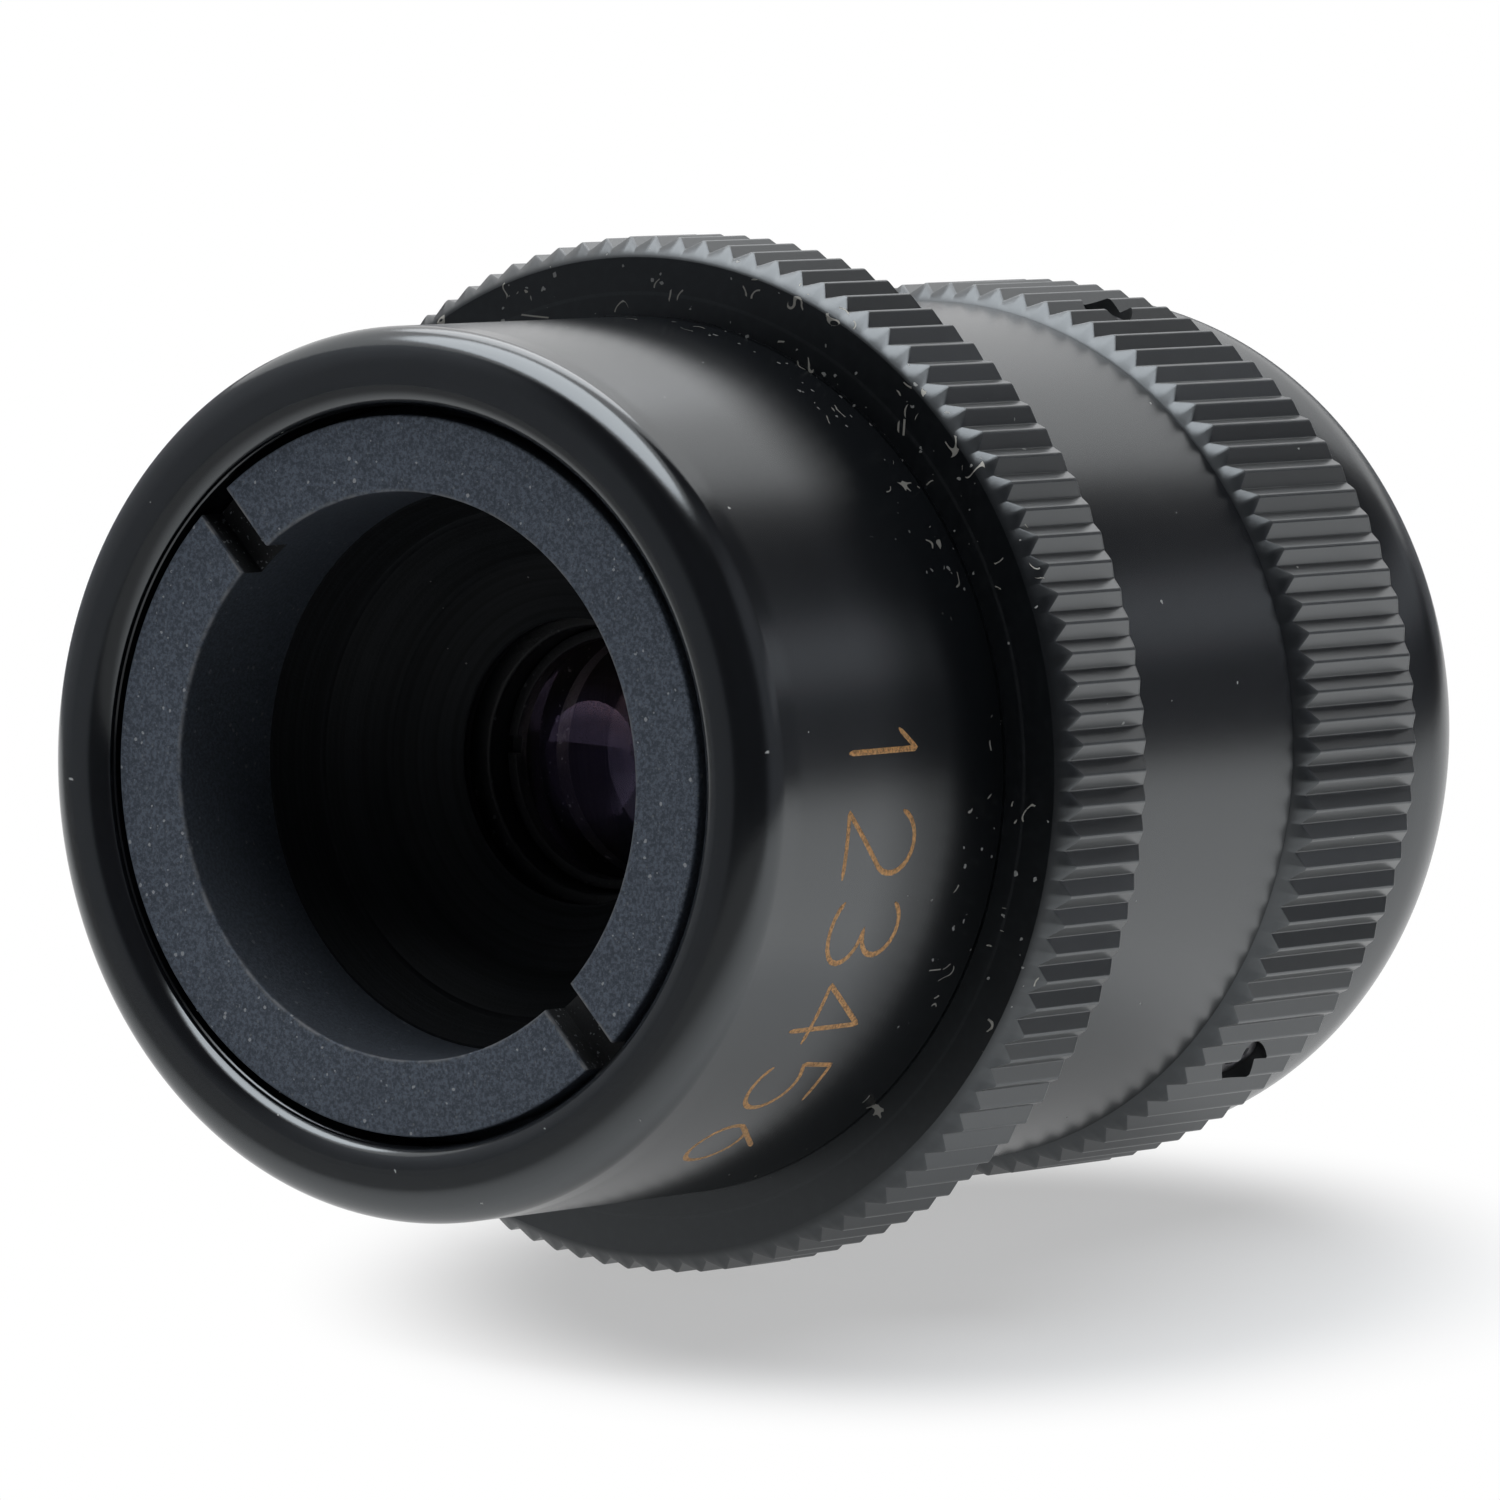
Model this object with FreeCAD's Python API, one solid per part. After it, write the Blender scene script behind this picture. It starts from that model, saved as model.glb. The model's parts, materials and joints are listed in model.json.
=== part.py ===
import FreeCAD, Part
import math
import os

# A helical focusing eyepiece for a telescope, lying on its side. Sizes are in millimetres.
# The optical axis is the Y axis. The nosepiece that slides into the telescope points to -Y,
# the eye end to +Y. Y = 0 is the seating shoulder, where the barrel meets the lock ring.
# Every turned piece is an outline of (radius, y) corners revolved about the Y axis.
# Angles about the axis run from +Z (0 degrees) towards +X (90 degrees).

# ---------------------------------------------------------------- clearances
RUNNING = 0.05              # radial gap where one piece turns or slides on another
THREAD = 0.05               # radial gap that stands for a screw thread
LENS_GAP = 0.05             # radial gap round a lens in its cell
CEMENT = 0.03               # axial gap between glass and what it rests against
END_PLAY = 0.10             # axial gap between two faces that turn on each other
END_CLEARANCE = 0.30        # axial gap between pieces that never touch
OVERCUT = 1.0               # how far a cutter runs past what it cuts

# ---------------------------------------------------------------- nosepiece barrel
NOSE_DIAMETER = 31.75       # the 1.25 inch push-fit size
NOSE_LENGTH = 14.7          # lip to shoulder
NOSE_MOUTH_WALL = 2.775
NOSE_SKIRT_WALL = 2.425     # where the barrel screws on to the body tube
NOSE_THROAT_STEP = 1.1      # inner shoulder that the baffle seats on
LIP_OUTER_ROUNDING = 2.15
LIP_INNER_ROUNDING = 0.55

# ---------------------------------------------------------------- slotted retaining ring
RING_RECESS = 0.5           # from the barrel's lip back to the ring's face
RING_LENGTH = 5.3
RING_WALL = 3.0
RING_COLLAR_STEP = 0.35     # the collar is this much smaller than the barrel's mouth
RING_COLLAR_LENGTH = 1.5    # plain front collar, ahead of the threaded land
RING_EDGE_BREAK = 0.15
SLOT_WIDTH = 1.5
SLOT_DEPTH = 1.2
SLOT_ANGLE = -46.0

# ---------------------------------------------------------------- stepped baffle
BAFFLE_FLANGE = 0.8
BAFFLE_WALL = 0.7
BAFFLE_LIP = 0.1
BAFFLE_LIP_LENGTH = 0.35
BAFFLE_RIDGE = 0.22         # height of the ridge between two conical stages
BAFFLE_STAGES = ((0.75, 1.9), (1.53, 1.9), (1.98, 1.3))    # narrowing of the radius, length
BAFFLE_TO_CELL = 0.75       # gap behind the baffle with the lens carriage fully forward

# ---------------------------------------------------------------- body tube
SPIGOT_LENGTH = 4.6
SPIGOT_WALL = 1.75
BODY_WALL = 1.45
BODY_FLANGE_HEIGHT = 1.8    # the flange that carries the lock ring

# ---------------------------------------------------------------- knurled rings
TOOTH_PITCH = 1.09          # the same straight knurl on both rings
TOOTH_DEPTH = 0.50
TOOTH_CREST = 0.10          # flat left on each crest
KNURL_CHAMFER = 0.70
LOCK_WIDTH = 5.45
LOCK_WALL = 3.8             # bore to crest
LOCK_PHASE = -0.65          # angle of one crest
GRIP_WIDTH = 7.9
GRIP_WALL = 1.52
GRIP_PHASE = 0.28

# ---------------------------------------------------------------- grub screws
GRUB_COUNT = 3
GRUB_ANGLE = 13.3
GRUB_DIAMETER = 2.1
GRUB_LENGTH = 1.3
GRUB_DIMPLE = 0.3           # depth of the seat that each screw has in the sleeve
GRUB_SOCKET = 0.9           # across the flats of the hexagon socket
GRUB_SOCKET_DEPTH = 0.65

# ---------------------------------------------------------------- focusing sleeve and its cam
BAND_LENGTH = 12.9          # smooth band between the knurled rings
BAND_EDGE_BREAK = 0.12
SLEEVE_WALL = 2.85
SLEEVE_SEAT_STEP = 0.9      # the sleeve is turned down under the grip ring
SLEEVE_REAR_WALL = 0.9
SLEEVE_SHOULDER = 2.2       # from the band's rear edge back to the sleeve's inner shoulder
SLEEVE_SHORTFALL = 0.2      # the sleeve stops short of the grip ring's rear face
TRAVEL = 3.0                # of the lens carriage along the axis
FOCUS_TURN = 90.0           # of the sleeve, for that travel
GROOVE_DEPTH = 1.3
GROOVE_CLEARANCE = 0.05     # each side of a roller
GROOVE_STEPS = 12
WASHER_THICKNESS = 0.3
KEEPER_LENGTH = 1.5
NOTCH_WIDTH = 1.6           # spanner notches in the inner rings
NOTCH_DEPTH = 0.8

# ---------------------------------------------------------------- guide screws and rollers
GUIDE_COUNT = 3
GUIDE_ANGLE = 60.0
GUIDE_FROM_BAND = 4.3       # from the band's front edge to the screws, carriage fully forward
ROLLER_DIAMETER = 2.4
GUIDE_SHANK_DIAMETER = 1.2
GUIDE_HEAD_DIAMETER = 1.9
GUIDE_HEAD_HEIGHT = 0.5

# ---------------------------------------------------------------- eye cap
CAP_ROUNDING = 4.75
CAP_BORE_GAP = 0.6          # round the lens carriage
CAP_LEDGE = 2.2             # the end wall reaches in this far from the bore
CAP_END_WALL = 1.5
CAP_OPENING_ROUNDING = 0.6

# ---------------------------------------------------------------- lens carriage
CARRIAGE_WALL = 1.55
CARRIAGE_FRONT_WALL = 3.5

# ---------------------------------------------------------------- front cell and its doublet
CELL_BORE_RADIUS = 4.8
CELL_RIM_BREAK = 0.2
CELL_SNOUT_WALL = 1.1
CELL_SNOUT_LENGTH = 2.2
CELL_BODY_WALL = 1.75
CELL_FLANGE_HEIGHT = 1.45
CELL_FLANGE_LENGTH = 0.8
CELL_SEAT_HEIGHT = 0.7      # of the ledge that the doublet rests on
CELL_SEAT_LENGTH = 0.55
FRONT_LENS_RECESS = 1.04    # from the cell's rim back to the glass
FRONT_CROWN = (16.0, -12.0, 0.9)    # front radius, rear radius, least thickness
FRONT_FLINT = (-12.0, 20.0, 1.2)
FRONT_KEEPER_WALL = 0.4
FRONT_KEEPER_LENGTH = 0.6
FRONT_KEEPER_NOTCH = (0.6, 0.3)     # width, depth

# ---------------------------------------------------------------- eye group
EYE_GROUP_LEAD = 5.4        # from its first glass surface back to the band's rear edge
EYE_FLINT = (-40.0, 24.0, 1.6)
EYE_CROWN = (24.0, -22.0, 1.4)
EYE_SINGLET = (26.0, -60.0, 1.8)
EYE_AIR_GAP = 0.3
FIELD_STOP_HEIGHT = 1.8
FIELD_STOP_THICKNESS = 0.8
SPACER_WALL = 0.7
EYE_KEEPER_WALL = 0.9
EYE_KEEPER_LENGTH = 1.95
EYE_KEEPER_RECESS = 0.2

AXIS = FreeCAD.Vector(0, 1, 0)
ORIGIN = FreeCAD.Vector(0, 0, 0)


# ================================================================ helpers
def corner_span(before, corner, after):
    """Start, middle and end of a corner: one point three times, or an arc tangent to both sides."""
    here = FreeCAD.Vector(corner[0], corner[1], 0)
    if len(corner) == 2:
        return here, here, here
    back = (FreeCAD.Vector(before[0], before[1], 0) - here).normalize()
    ahead = (FreeCAD.Vector(after[0], after[1], 0) - here).normalize()
    half = back.getAngle(ahead) / 2
    reach = corner[2] / math.tan(half)
    to_middle = corner[2] / math.sin(half) - corner[2]
    bisector = (back + ahead).normalize()
    return here + back * reach, here + bisector * to_middle, here + ahead * reach


def outline(corners):
    """Closed wire in the XY plane through (radius, y) corners; a third number rounds a corner."""
    count = len(corners)
    spans = [
        corner_span(corners[index - 1], corners[index], corners[(index + 1) % count])
        for index in range(count)
    ]
    edges = []
    for index, (start, middle, end) in enumerate(spans):
        if start != end:
            edges.append(Part.Arc(start, middle, end).toShape())
        edges.append(Part.LineSegment(end, spans[(index + 1) % count][0]).toShape())
    return Part.Wire(edges)


def turned(corners):
    """Solid of revolution about the optical axis."""
    return Part.Face(outline(corners)).revolve(ORIGIN, AXIS, 360)


def tube(inner, outer, front, rear):
    """Plain turned tube between two radii and two stations."""
    return turned([(inner, front), (outer, front), (outer, rear), (inner, rear)])


def about_axis(shape, angle):
    """Copy of a shape turned about the optical axis."""
    copy = shape.copy()
    copy.rotate(ORIGIN, AXIS, angle)
    return copy


def around(shape, count, first):
    """Copies of a shape evenly spaced about the optical axis."""
    return [about_axis(shape, first + index * 360.0 / count) for index in range(count)]


def radial_pin(radius, station, inner, outer):
    """Cylinder along +Z at one station, from one distance off the axis to another."""
    return Part.makeCylinder(radius, outer - inner, FreeCAD.Vector(0, station, inner))


def bar_across(width, front, rear, reach, angle):
    """Bar right across the optical axis, which cuts a pair of spanner slots."""
    bar = Part.makeBox(width, rear - front, 2 * reach, FreeCAD.Vector(-width / 2, front, -reach))
    return about_axis(bar, angle)


def sag(radius, height):
    """Axial distance from a sphere's vertex to its surface at one height off the axis."""
    return math.copysign(abs(radius) - math.sqrt(radius * radius - height * height), radius)


def centre_thickness(glass, half):
    """Thickness on the axis: the least thickness is there, or at the edge if that is thinner."""
    front_radius, rear_radius, least = glass
    return least + max(0.0, sag(front_radius, half) - sag(rear_radius, half))


def lens(vertex, glass, half):
    """Lens from the station of its front vertex, its two surfaces and its half diameter."""
    front_radius, rear_radius, least = glass
    rear = vertex + centre_thickness(glass, half)

    def surface(station, radius):
        points = [(height, station + sag(radius, height)) for height in (0, half / 2, half)]
        return Part.Arc(*[FreeCAD.Vector(height, y, 0) for height, y in points])

    front_arc = surface(vertex, front_radius)
    rear_arc = surface(rear, rear_radius)
    edge = Part.LineSegment(front_arc.EndPoint, rear_arc.EndPoint)
    centre = Part.LineSegment(rear_arc.StartPoint, front_arc.StartPoint)
    wire = Part.Wire([curve.toShape() for curve in (front_arc, edge, rear_arc, centre)])
    return Part.Face(wire).revolve(ORIGIN, AXIS, 360)


def knurled_blank(crest, phase, front, width):
    """Straight V knurl: a star prism of crests and valleys, with both ends chamfered."""
    teeth = round(2 * math.pi * crest / TOOTH_PITCH)
    half_flat = math.degrees(TOOTH_CREST / crest) / 2
    points = []
    for tooth in range(teeth):
        centre = phase + tooth * 360.0 / teeth
        valley = centre + 180.0 / teeth
        for angle, radius in (
            (centre - half_flat, crest),
            (centre + half_flat, crest),
            (valley, crest - TOOTH_DEPTH),
        ):
            turn = math.radians(angle)
            points.append(FreeCAD.Vector(radius * math.sin(turn), front, radius * math.cos(turn)))
    prism = Part.Face(Part.makePolygon(points + points[:1])).extrude(AXIS * width)
    rear = front + width
    blank = turned([
        (0, front),
        (crest - KNURL_CHAMFER, front),
        (crest, front + KNURL_CHAMFER),
        (crest + OVERCUT, front + KNURL_CHAMFER),
        (crest + OVERCUT, rear - KNURL_CHAMFER),
        (crest, rear - KNURL_CHAMFER),
        (crest - KNURL_CHAMFER, rear),
        (0, rear),
    ])
    return prism.common(blank)


# ================================================================ radii that several pieces share
nose_radius = NOSE_DIAMETER / 2
mouth_radius = nose_radius - NOSE_MOUTH_WALL
throat_radius = mouth_radius - NOSE_THROAT_STEP
ring_bore = mouth_radius - RING_WALL
spigot_radius = nose_radius - NOSE_SKIRT_WALL - THREAD
body_bore = spigot_radius - SPIGOT_WALL
body_radius = body_bore + BODY_WALL
flange_radius = body_radius + BODY_FLANGE_HEIGHT
sleeve_bore = body_radius + RUNNING
sleeve_radius = sleeve_bore + SLEEVE_WALL
sleeve_seat = sleeve_radius - SLEEVE_SEAT_STEP
sleeve_rear_bore = sleeve_seat - SLEEVE_REAR_WALL
grip_bore = sleeve_seat + THREAD
carriage_radius = body_bore - RUNNING
lens_bore = carriage_radius - CARRIAGE_WALL
eye_lens_radius = lens_bore - LENS_GAP
cell_body = CELL_BORE_RADIUS + CELL_BODY_WALL
front_lens_radius = CELL_BORE_RADIUS - LENS_GAP
roller_radius = ROLLER_DIAMETER / 2
shank_radius = GUIDE_SHANK_DIAMETER / 2
groove_half_width = roller_radius + GROOVE_CLEARANCE
groove_floor = sleeve_bore + GROOVE_DEPTH
guide_head_top = groove_floor - END_PLAY
guide_head_foot = guide_head_top - GUIDE_HEAD_HEIGHT

# ================================================================ stations that several pieces share
lip = -NOSE_LENGTH
ring_face = lip + RING_RECESS
ring_rear = ring_face + RING_LENGTH
baffle_seat = ring_rear + BAFFLE_FLANGE
baffle_neck = ring_rear + sum(length for narrowing, length in BAFFLE_STAGES)
baffle_rear = baffle_neck + BAFFLE_LIP_LENGTH
spigot_front = -SPIGOT_LENGTH
lock_front = END_PLAY / 2
lock_rear = lock_front + LOCK_WIDTH
body_flange_rear = lock_rear + END_PLAY / 2
sleeve_front = body_flange_rear + END_PLAY
band_rear = sleeve_front + BAND_LENGTH
sleeve_shoulder = band_rear + SLEEVE_SHOULDER
grip_rear = band_rear + GRIP_WIDTH
grip_middle = band_rear + GRIP_WIDTH / 2
sleeve_rear = grip_rear - SLEEVE_SHORTFALL
washer_front = sleeve_shoulder + END_PLAY / 2
washer_rear = washer_front + WASHER_THICKNESS
keeper_front = washer_rear + END_PLAY / 2
body_rear = keeper_front + KEEPER_LENGTH
guide_station = sleeve_front + GUIDE_FROM_BAND
cell_front = baffle_rear + BAFFLE_TO_CELL
cell_flange_front = cell_front + CELL_SNOUT_LENGTH
carriage_front = cell_flange_front + CELL_FLANGE_LENGTH
field_stop_front = carriage_front + CARRIAGE_FRONT_WALL
field_stop_rear = field_stop_front + FIELD_STOP_THICKNESS
front_vertex = cell_front + FRONT_LENS_RECESS
front_joint = front_vertex + centre_thickness(FRONT_CROWN, front_lens_radius) + CEMENT
front_glass_rear = front_joint + centre_thickness(FRONT_FLINT, front_lens_radius)
cell_seat = front_glass_rear + sag(FRONT_FLINT[1], front_lens_radius)
eye_vertex = band_rear - EYE_GROUP_LEAD
eye_joint = eye_vertex + centre_thickness(EYE_FLINT, eye_lens_radius) + CEMENT
doublet_rear = eye_joint + centre_thickness(EYE_CROWN, eye_lens_radius)
singlet_vertex = doublet_rear + EYE_AIR_GAP
singlet_rear = singlet_vertex + centre_thickness(EYE_SINGLET, eye_lens_radius)
eye_keeper_bore = lens_bore - EYE_KEEPER_WALL
eye_keeper_front = singlet_rear + sag(EYE_SINGLET[1], eye_keeper_bore) + CEMENT
eye_keeper_rear = eye_keeper_front + EYE_KEEPER_LENGTH
carriage_rear = eye_keeper_rear + EYE_KEEPER_RECESS
cap_bore_rear = carriage_rear + TRAVEL + END_CLEARANCE
cap_rear = cap_bore_rear + CAP_END_WALL


# ================================================================ nosepiece and what it holds
def nosepiece_barrel():
    return turned([
        (mouth_radius, lip, LIP_INNER_ROUNDING),
        (nose_radius, lip, LIP_OUTER_ROUNDING),
        (nose_radius, 0),
        (spigot_radius + THREAD, 0),
        (spigot_radius + THREAD, spigot_front - END_PLAY),
        (throat_radius, spigot_front - END_PLAY),
        (throat_radius, baffle_seat),
        (mouth_radius, baffle_seat),
    ])


def front_retaining_ring():
    land = mouth_radius - THREAD
    collar = mouth_radius - RING_COLLAR_STEP
    collar_rear = ring_face + RING_COLLAR_LENGTH
    ring = turned([
        (ring_bore + RING_EDGE_BREAK, ring_face),
        (collar - RING_EDGE_BREAK, ring_face),
        (collar, ring_face + RING_EDGE_BREAK),
        (collar, collar_rear),
        (land, collar_rear + land - collar),
        (land, ring_rear),
        (ring_bore, ring_rear),
        (ring_bore, ring_face + RING_EDGE_BREAK),
    ])
    slots = bar_across(
        SLOT_WIDTH, ring_face - OVERCUT, ring_face + SLOT_DEPTH, land + OVERCUT, SLOT_ANGLE
    )
    return ring.cut(slots)


def baffle_cone():
    """Three conical stages, each starting a ridge's height inside the end of the one before."""
    flange = mouth_radius - THREAD
    radius = ring_bore - BAFFLE_LIP
    station = ring_rear
    inner = []
    outer = [(flange, ring_rear), (flange, baffle_seat)]
    for narrowing, length in BAFFLE_STAGES:
        inner.append((radius, station))
        outer.append((radius + BAFFLE_WALL, max(baffle_seat, station + BAFFLE_WALL)))
        inner.append((radius - narrowing, station + length))
        radius -= narrowing + BAFFLE_RIDGE
        station += length
    neck = inner[-1][0] - BAFFLE_LIP
    inner += [(neck, baffle_neck), (neck, baffle_rear)]
    outer.append((neck + BAFFLE_WALL, baffle_rear))
    return turned(inner + outer[::-1])


# ================================================================ body tube and its keeper ring
def body_tube():
    blank = turned([
        (body_bore, spigot_front),
        (spigot_radius, spigot_front),
        (spigot_radius, 0),
        (flange_radius, 0),
        (flange_radius, body_flange_rear),
        (body_radius, body_flange_rear),
        (body_radius, body_rear),
        (body_bore, body_rear),
    ])
    inner = body_bore - OVERCUT
    outer = body_radius + OVERCUT
    ends = [radial_pin(groove_half_width, guide_station + shift, inner, outer) for shift in (0, TRAVEL)]
    middle = Part.makeBox(
        2 * groove_half_width, TRAVEL, outer - inner,
        FreeCAD.Vector(-groove_half_width, guide_station, inner),
    )
    slot = middle.fuse(ends)
    return blank.cut(around(slot, GUIDE_COUNT, GUIDE_ANGLE))


def sleeve_keeper():
    ring = tube(body_radius + THREAD, sleeve_rear_bore - END_PLAY, keeper_front, body_rear)
    reach = sleeve_rear_bore + OVERCUT
    return ring.cut(bar_across(NOTCH_WIDTH, body_rear - NOTCH_DEPTH, body_rear + OVERCUT, reach, 0))


def thrust_washer():
    return tube(body_radius + RUNNING, sleeve_rear_bore - RUNNING, washer_front, washer_rear)


# ================================================================ knurled rings and grub screws
def lock_ring():
    bore = flange_radius + THREAD
    blank = knurled_blank(bore + LOCK_WALL, LOCK_PHASE, lock_front, LOCK_WIDTH)
    return blank.cut(tube(0, bore, lock_front - OVERCUT, lock_rear + OVERCUT))


def focus_grip_ring():
    crest = grip_bore + GRIP_WALL
    blank = knurled_blank(crest, GRIP_PHASE, band_rear, GRIP_WIDTH)
    bore = tube(0, grip_bore, band_rear - OVERCUT, grip_rear + OVERCUT)
    hole = radial_pin(GRUB_DIAMETER / 2, grip_middle, grip_bore - OVERCUT, crest + OVERCUT)
    return blank.cut([bore] + around(hole, GRUB_COUNT, GRUB_ANGLE))


def grub_screws():
    foot = sleeve_seat - GRUB_DIMPLE + THREAD
    head = foot + GRUB_LENGTH
    screw = radial_pin(GRUB_DIAMETER / 2 - THREAD, grip_middle, foot, head)
    corner = GRUB_SOCKET / math.sqrt(3)
    hexagon = Part.makePolygon([
        FreeCAD.Vector(
            corner * math.cos(math.radians(60 * side)),
            corner * math.sin(math.radians(60 * side)) + grip_middle,
            head - GRUB_SOCKET_DEPTH,
        )
        for side in range(7)
    ])
    socket = Part.Face(hexagon).extrude(FreeCAD.Vector(0, 0, GRUB_SOCKET_DEPTH + OVERCUT))
    return Part.makeCompound(around(screw.cut(socket), GRUB_COUNT, GRUB_ANGLE))


# ================================================================ focusing sleeve with its cam grooves
def cam_groove():
    """Helical groove, open to the sleeve's bore, swept through flat sections square to the helix."""
    advance = TRAVEL / math.radians(FOCUS_TURN)
    lean = math.degrees(math.atan(advance / groove_floor))
    inner = sleeve_bore - OVERCUT
    corners = [
        FreeCAD.Vector(0, -groove_half_width, inner),
        FreeCAD.Vector(0, groove_half_width, inner),
        FreeCAD.Vector(0, groove_half_width, groove_floor),
        FreeCAD.Vector(0, -groove_half_width, groove_floor),
    ]
    sections = []
    for step in range(GROOVE_STEPS + 1):
        share = step / GROOVE_STEPS
        section = Part.makePolygon(corners + corners[:1])
        section.rotate(ORIGIN, FreeCAD.Vector(0, 0, 1), lean)
        section.translate(AXIS * (guide_station + TRAVEL * share))
        sections.append(about_axis(section, FOCUS_TURN * share))
    return Part.makeLoft(sections, True)


def cam_groove_end(share):
    """Round end of the groove, where the cutter stops."""
    station = guide_station + TRAVEL * share
    pocket = radial_pin(groove_half_width, station, sleeve_bore - OVERCUT, groove_floor)
    return about_axis(pocket, FOCUS_TURN * share)


def focus_sleeve():
    sleeve = turned([
        (sleeve_bore, sleeve_front),
        (sleeve_radius - BAND_EDGE_BREAK, sleeve_front),
        (sleeve_radius, sleeve_front + BAND_EDGE_BREAK),
        (sleeve_radius, band_rear),
        (sleeve_seat, band_rear),
        (sleeve_seat, sleeve_rear),
        (sleeve_rear_bore, sleeve_rear),
        (sleeve_rear_bore, sleeve_shoulder),
        (sleeve_bore, sleeve_shoulder),
    ])
    for cutter in (cam_groove(), cam_groove_end(0), cam_groove_end(1)):
        sleeve = sleeve.cut(around(cutter, GUIDE_COUNT, GUIDE_ANGLE))
    dimple = radial_pin(GRUB_DIAMETER / 2, grip_middle, sleeve_seat - GRUB_DIMPLE, sleeve_seat + OVERCUT)
    return sleeve.cut(around(dimple, GRUB_COUNT, GRUB_ANGLE))


def eye_cap():
    bore = carriage_radius + CAP_BORE_GAP
    opening = bore - CAP_LEDGE
    spigot = sleeve_rear_bore - THREAD
    spigot_end = body_rear + END_CLEARANCE
    rounding = min(CAP_ROUNDING, cap_rear - grip_rear - END_PLAY)
    return turned([
        (bore, spigot_end),
        (spigot, spigot_end),
        (spigot, grip_rear),
        (sleeve_radius, grip_rear),
        (sleeve_radius, cap_rear, rounding),
        (opening, cap_rear, CAP_OPENING_ROUNDING),
        (opening, cap_bore_rear),
        (bore, cap_bore_rear),
    ])


# ================================================================ lens carriage and its guides
def lens_carriage():
    carriage = turned([
        (cell_body + THREAD, carriage_front),
        (carriage_radius, carriage_front),
        (carriage_radius, carriage_rear),
        (lens_bore, carriage_rear),
        (lens_bore, field_stop_front),
        (cell_body + THREAD, field_stop_front),
    ])
    hole = radial_pin(
        shank_radius + THREAD, guide_station, lens_bore - OVERCUT, carriage_radius + OVERCUT
    )
    return carriage.cut(around(hole, GUIDE_COUNT, GUIDE_ANGLE))


def guide_screws():
    shank = radial_pin(shank_radius, guide_station, lens_bore + THREAD, guide_head_foot)
    head = radial_pin(GUIDE_HEAD_DIAMETER / 2, guide_station, guide_head_foot, guide_head_top)
    screw = shank.fuse(head)
    return Part.makeCompound(around(screw, GUIDE_COUNT, GUIDE_ANGLE))


def guide_rollers():
    foot = carriage_radius + END_PLAY
    head = guide_head_foot - END_PLAY / 2
    roller = radial_pin(roller_radius, guide_station, foot, head)
    bore = radial_pin(shank_radius + RUNNING, guide_station, foot - OVERCUT, head + OVERCUT)
    return Part.makeCompound(around(roller.cut(bore), GUIDE_COUNT, GUIDE_ANGLE))


# ================================================================ front cell and its doublet
def front_lens_cell():
    ledge = CELL_BORE_RADIUS - CELL_SEAT_HEIGHT
    snout = CELL_BORE_RADIUS + CELL_SNOUT_WALL
    flange = cell_body + CELL_FLANGE_HEIGHT
    rear = cell_seat + CELL_SEAT_LENGTH
    return turned([
        (CELL_BORE_RADIUS + CELL_RIM_BREAK, cell_front),
        (snout, cell_front),
        (snout, cell_flange_front),
        (flange, cell_flange_front),
        (flange, carriage_front),
        (cell_body, carriage_front),
        (cell_body, rear),
        (ledge, rear),
        (ledge, cell_seat),
        (CELL_BORE_RADIUS, cell_seat),
        (CELL_BORE_RADIUS, cell_front + CELL_RIM_BREAK),
    ])


def front_lens_keeper():
    outer = CELL_BORE_RADIUS - THREAD
    bore = outer - FRONT_KEEPER_WALL
    rear = front_vertex + sag(FRONT_CROWN[0], bore) - CEMENT
    front = rear - FRONT_KEEPER_LENGTH
    width, depth = FRONT_KEEPER_NOTCH
    notches = bar_across(width, front - OVERCUT, front + depth, outer + OVERCUT, 90)
    return tube(bore, outer, front, rear).cut(notches)


def front_crown():
    return lens(front_vertex, FRONT_CROWN, front_lens_radius)


def front_flint():
    return lens(front_joint, FRONT_FLINT, front_lens_radius)


# ================================================================ field stop and eye group
def field_stop():
    """Thin ring with its inner edge bevelled on the eye side."""
    edge = eye_lens_radius - FIELD_STOP_HEIGHT
    return turned([
        (edge, field_stop_front),
        (eye_lens_radius, field_stop_front),
        (eye_lens_radius, field_stop_rear),
        (edge + FIELD_STOP_THICKNESS, field_stop_rear),
    ])


def spacer_tube():
    rear = eye_vertex + sag(EYE_FLINT[0], eye_lens_radius)
    return tube(eye_lens_radius - SPACER_WALL, eye_lens_radius, field_stop_rear, rear)


def eye_flint():
    return lens(eye_vertex, EYE_FLINT, eye_lens_radius)


def eye_crown():
    return lens(eye_joint, EYE_CROWN, eye_lens_radius)


def eye_spacer():
    bore = eye_lens_radius - SPACER_WALL
    front = doublet_rear + sag(EYE_CROWN[1], bore) + CEMENT
    rear = singlet_vertex + sag(EYE_SINGLET[0], bore) - CEMENT
    return tube(bore, eye_lens_radius, front, rear)


def eye_lens():
    return lens(singlet_vertex, EYE_SINGLET, eye_lens_radius)


def eye_lens_keeper():
    outer = lens_bore - THREAD
    notches = bar_across(
        NOTCH_WIDTH, eye_keeper_rear - NOTCH_DEPTH, eye_keeper_rear + OVERCUT, outer + OVERCUT, 90
    )
    return tube(eye_keeper_bore, outer, eye_keeper_front, eye_keeper_rear).cut(notches)


PIECES = (
    nosepiece_barrel,
    front_retaining_ring,
    baffle_cone,
    body_tube,
    sleeve_keeper,
    thrust_washer,
    lock_ring,
    focus_sleeve,
    focus_grip_ring,
    grub_screws,
    eye_cap,
    lens_carriage,
    guide_screws,
    guide_rollers,
    front_lens_cell,
    front_lens_keeper,
    front_crown,
    front_flint,
    field_stop,
    spacer_tube,
    eye_flint,
    eye_crown,
    eye_spacer,
    eye_lens,
    eye_lens_keeper,
)

os.makedirs("parts", exist_ok=True)
for piece in PIECES:
    piece().exportStep("parts/" + piece.__name__ + ".step")
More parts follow.
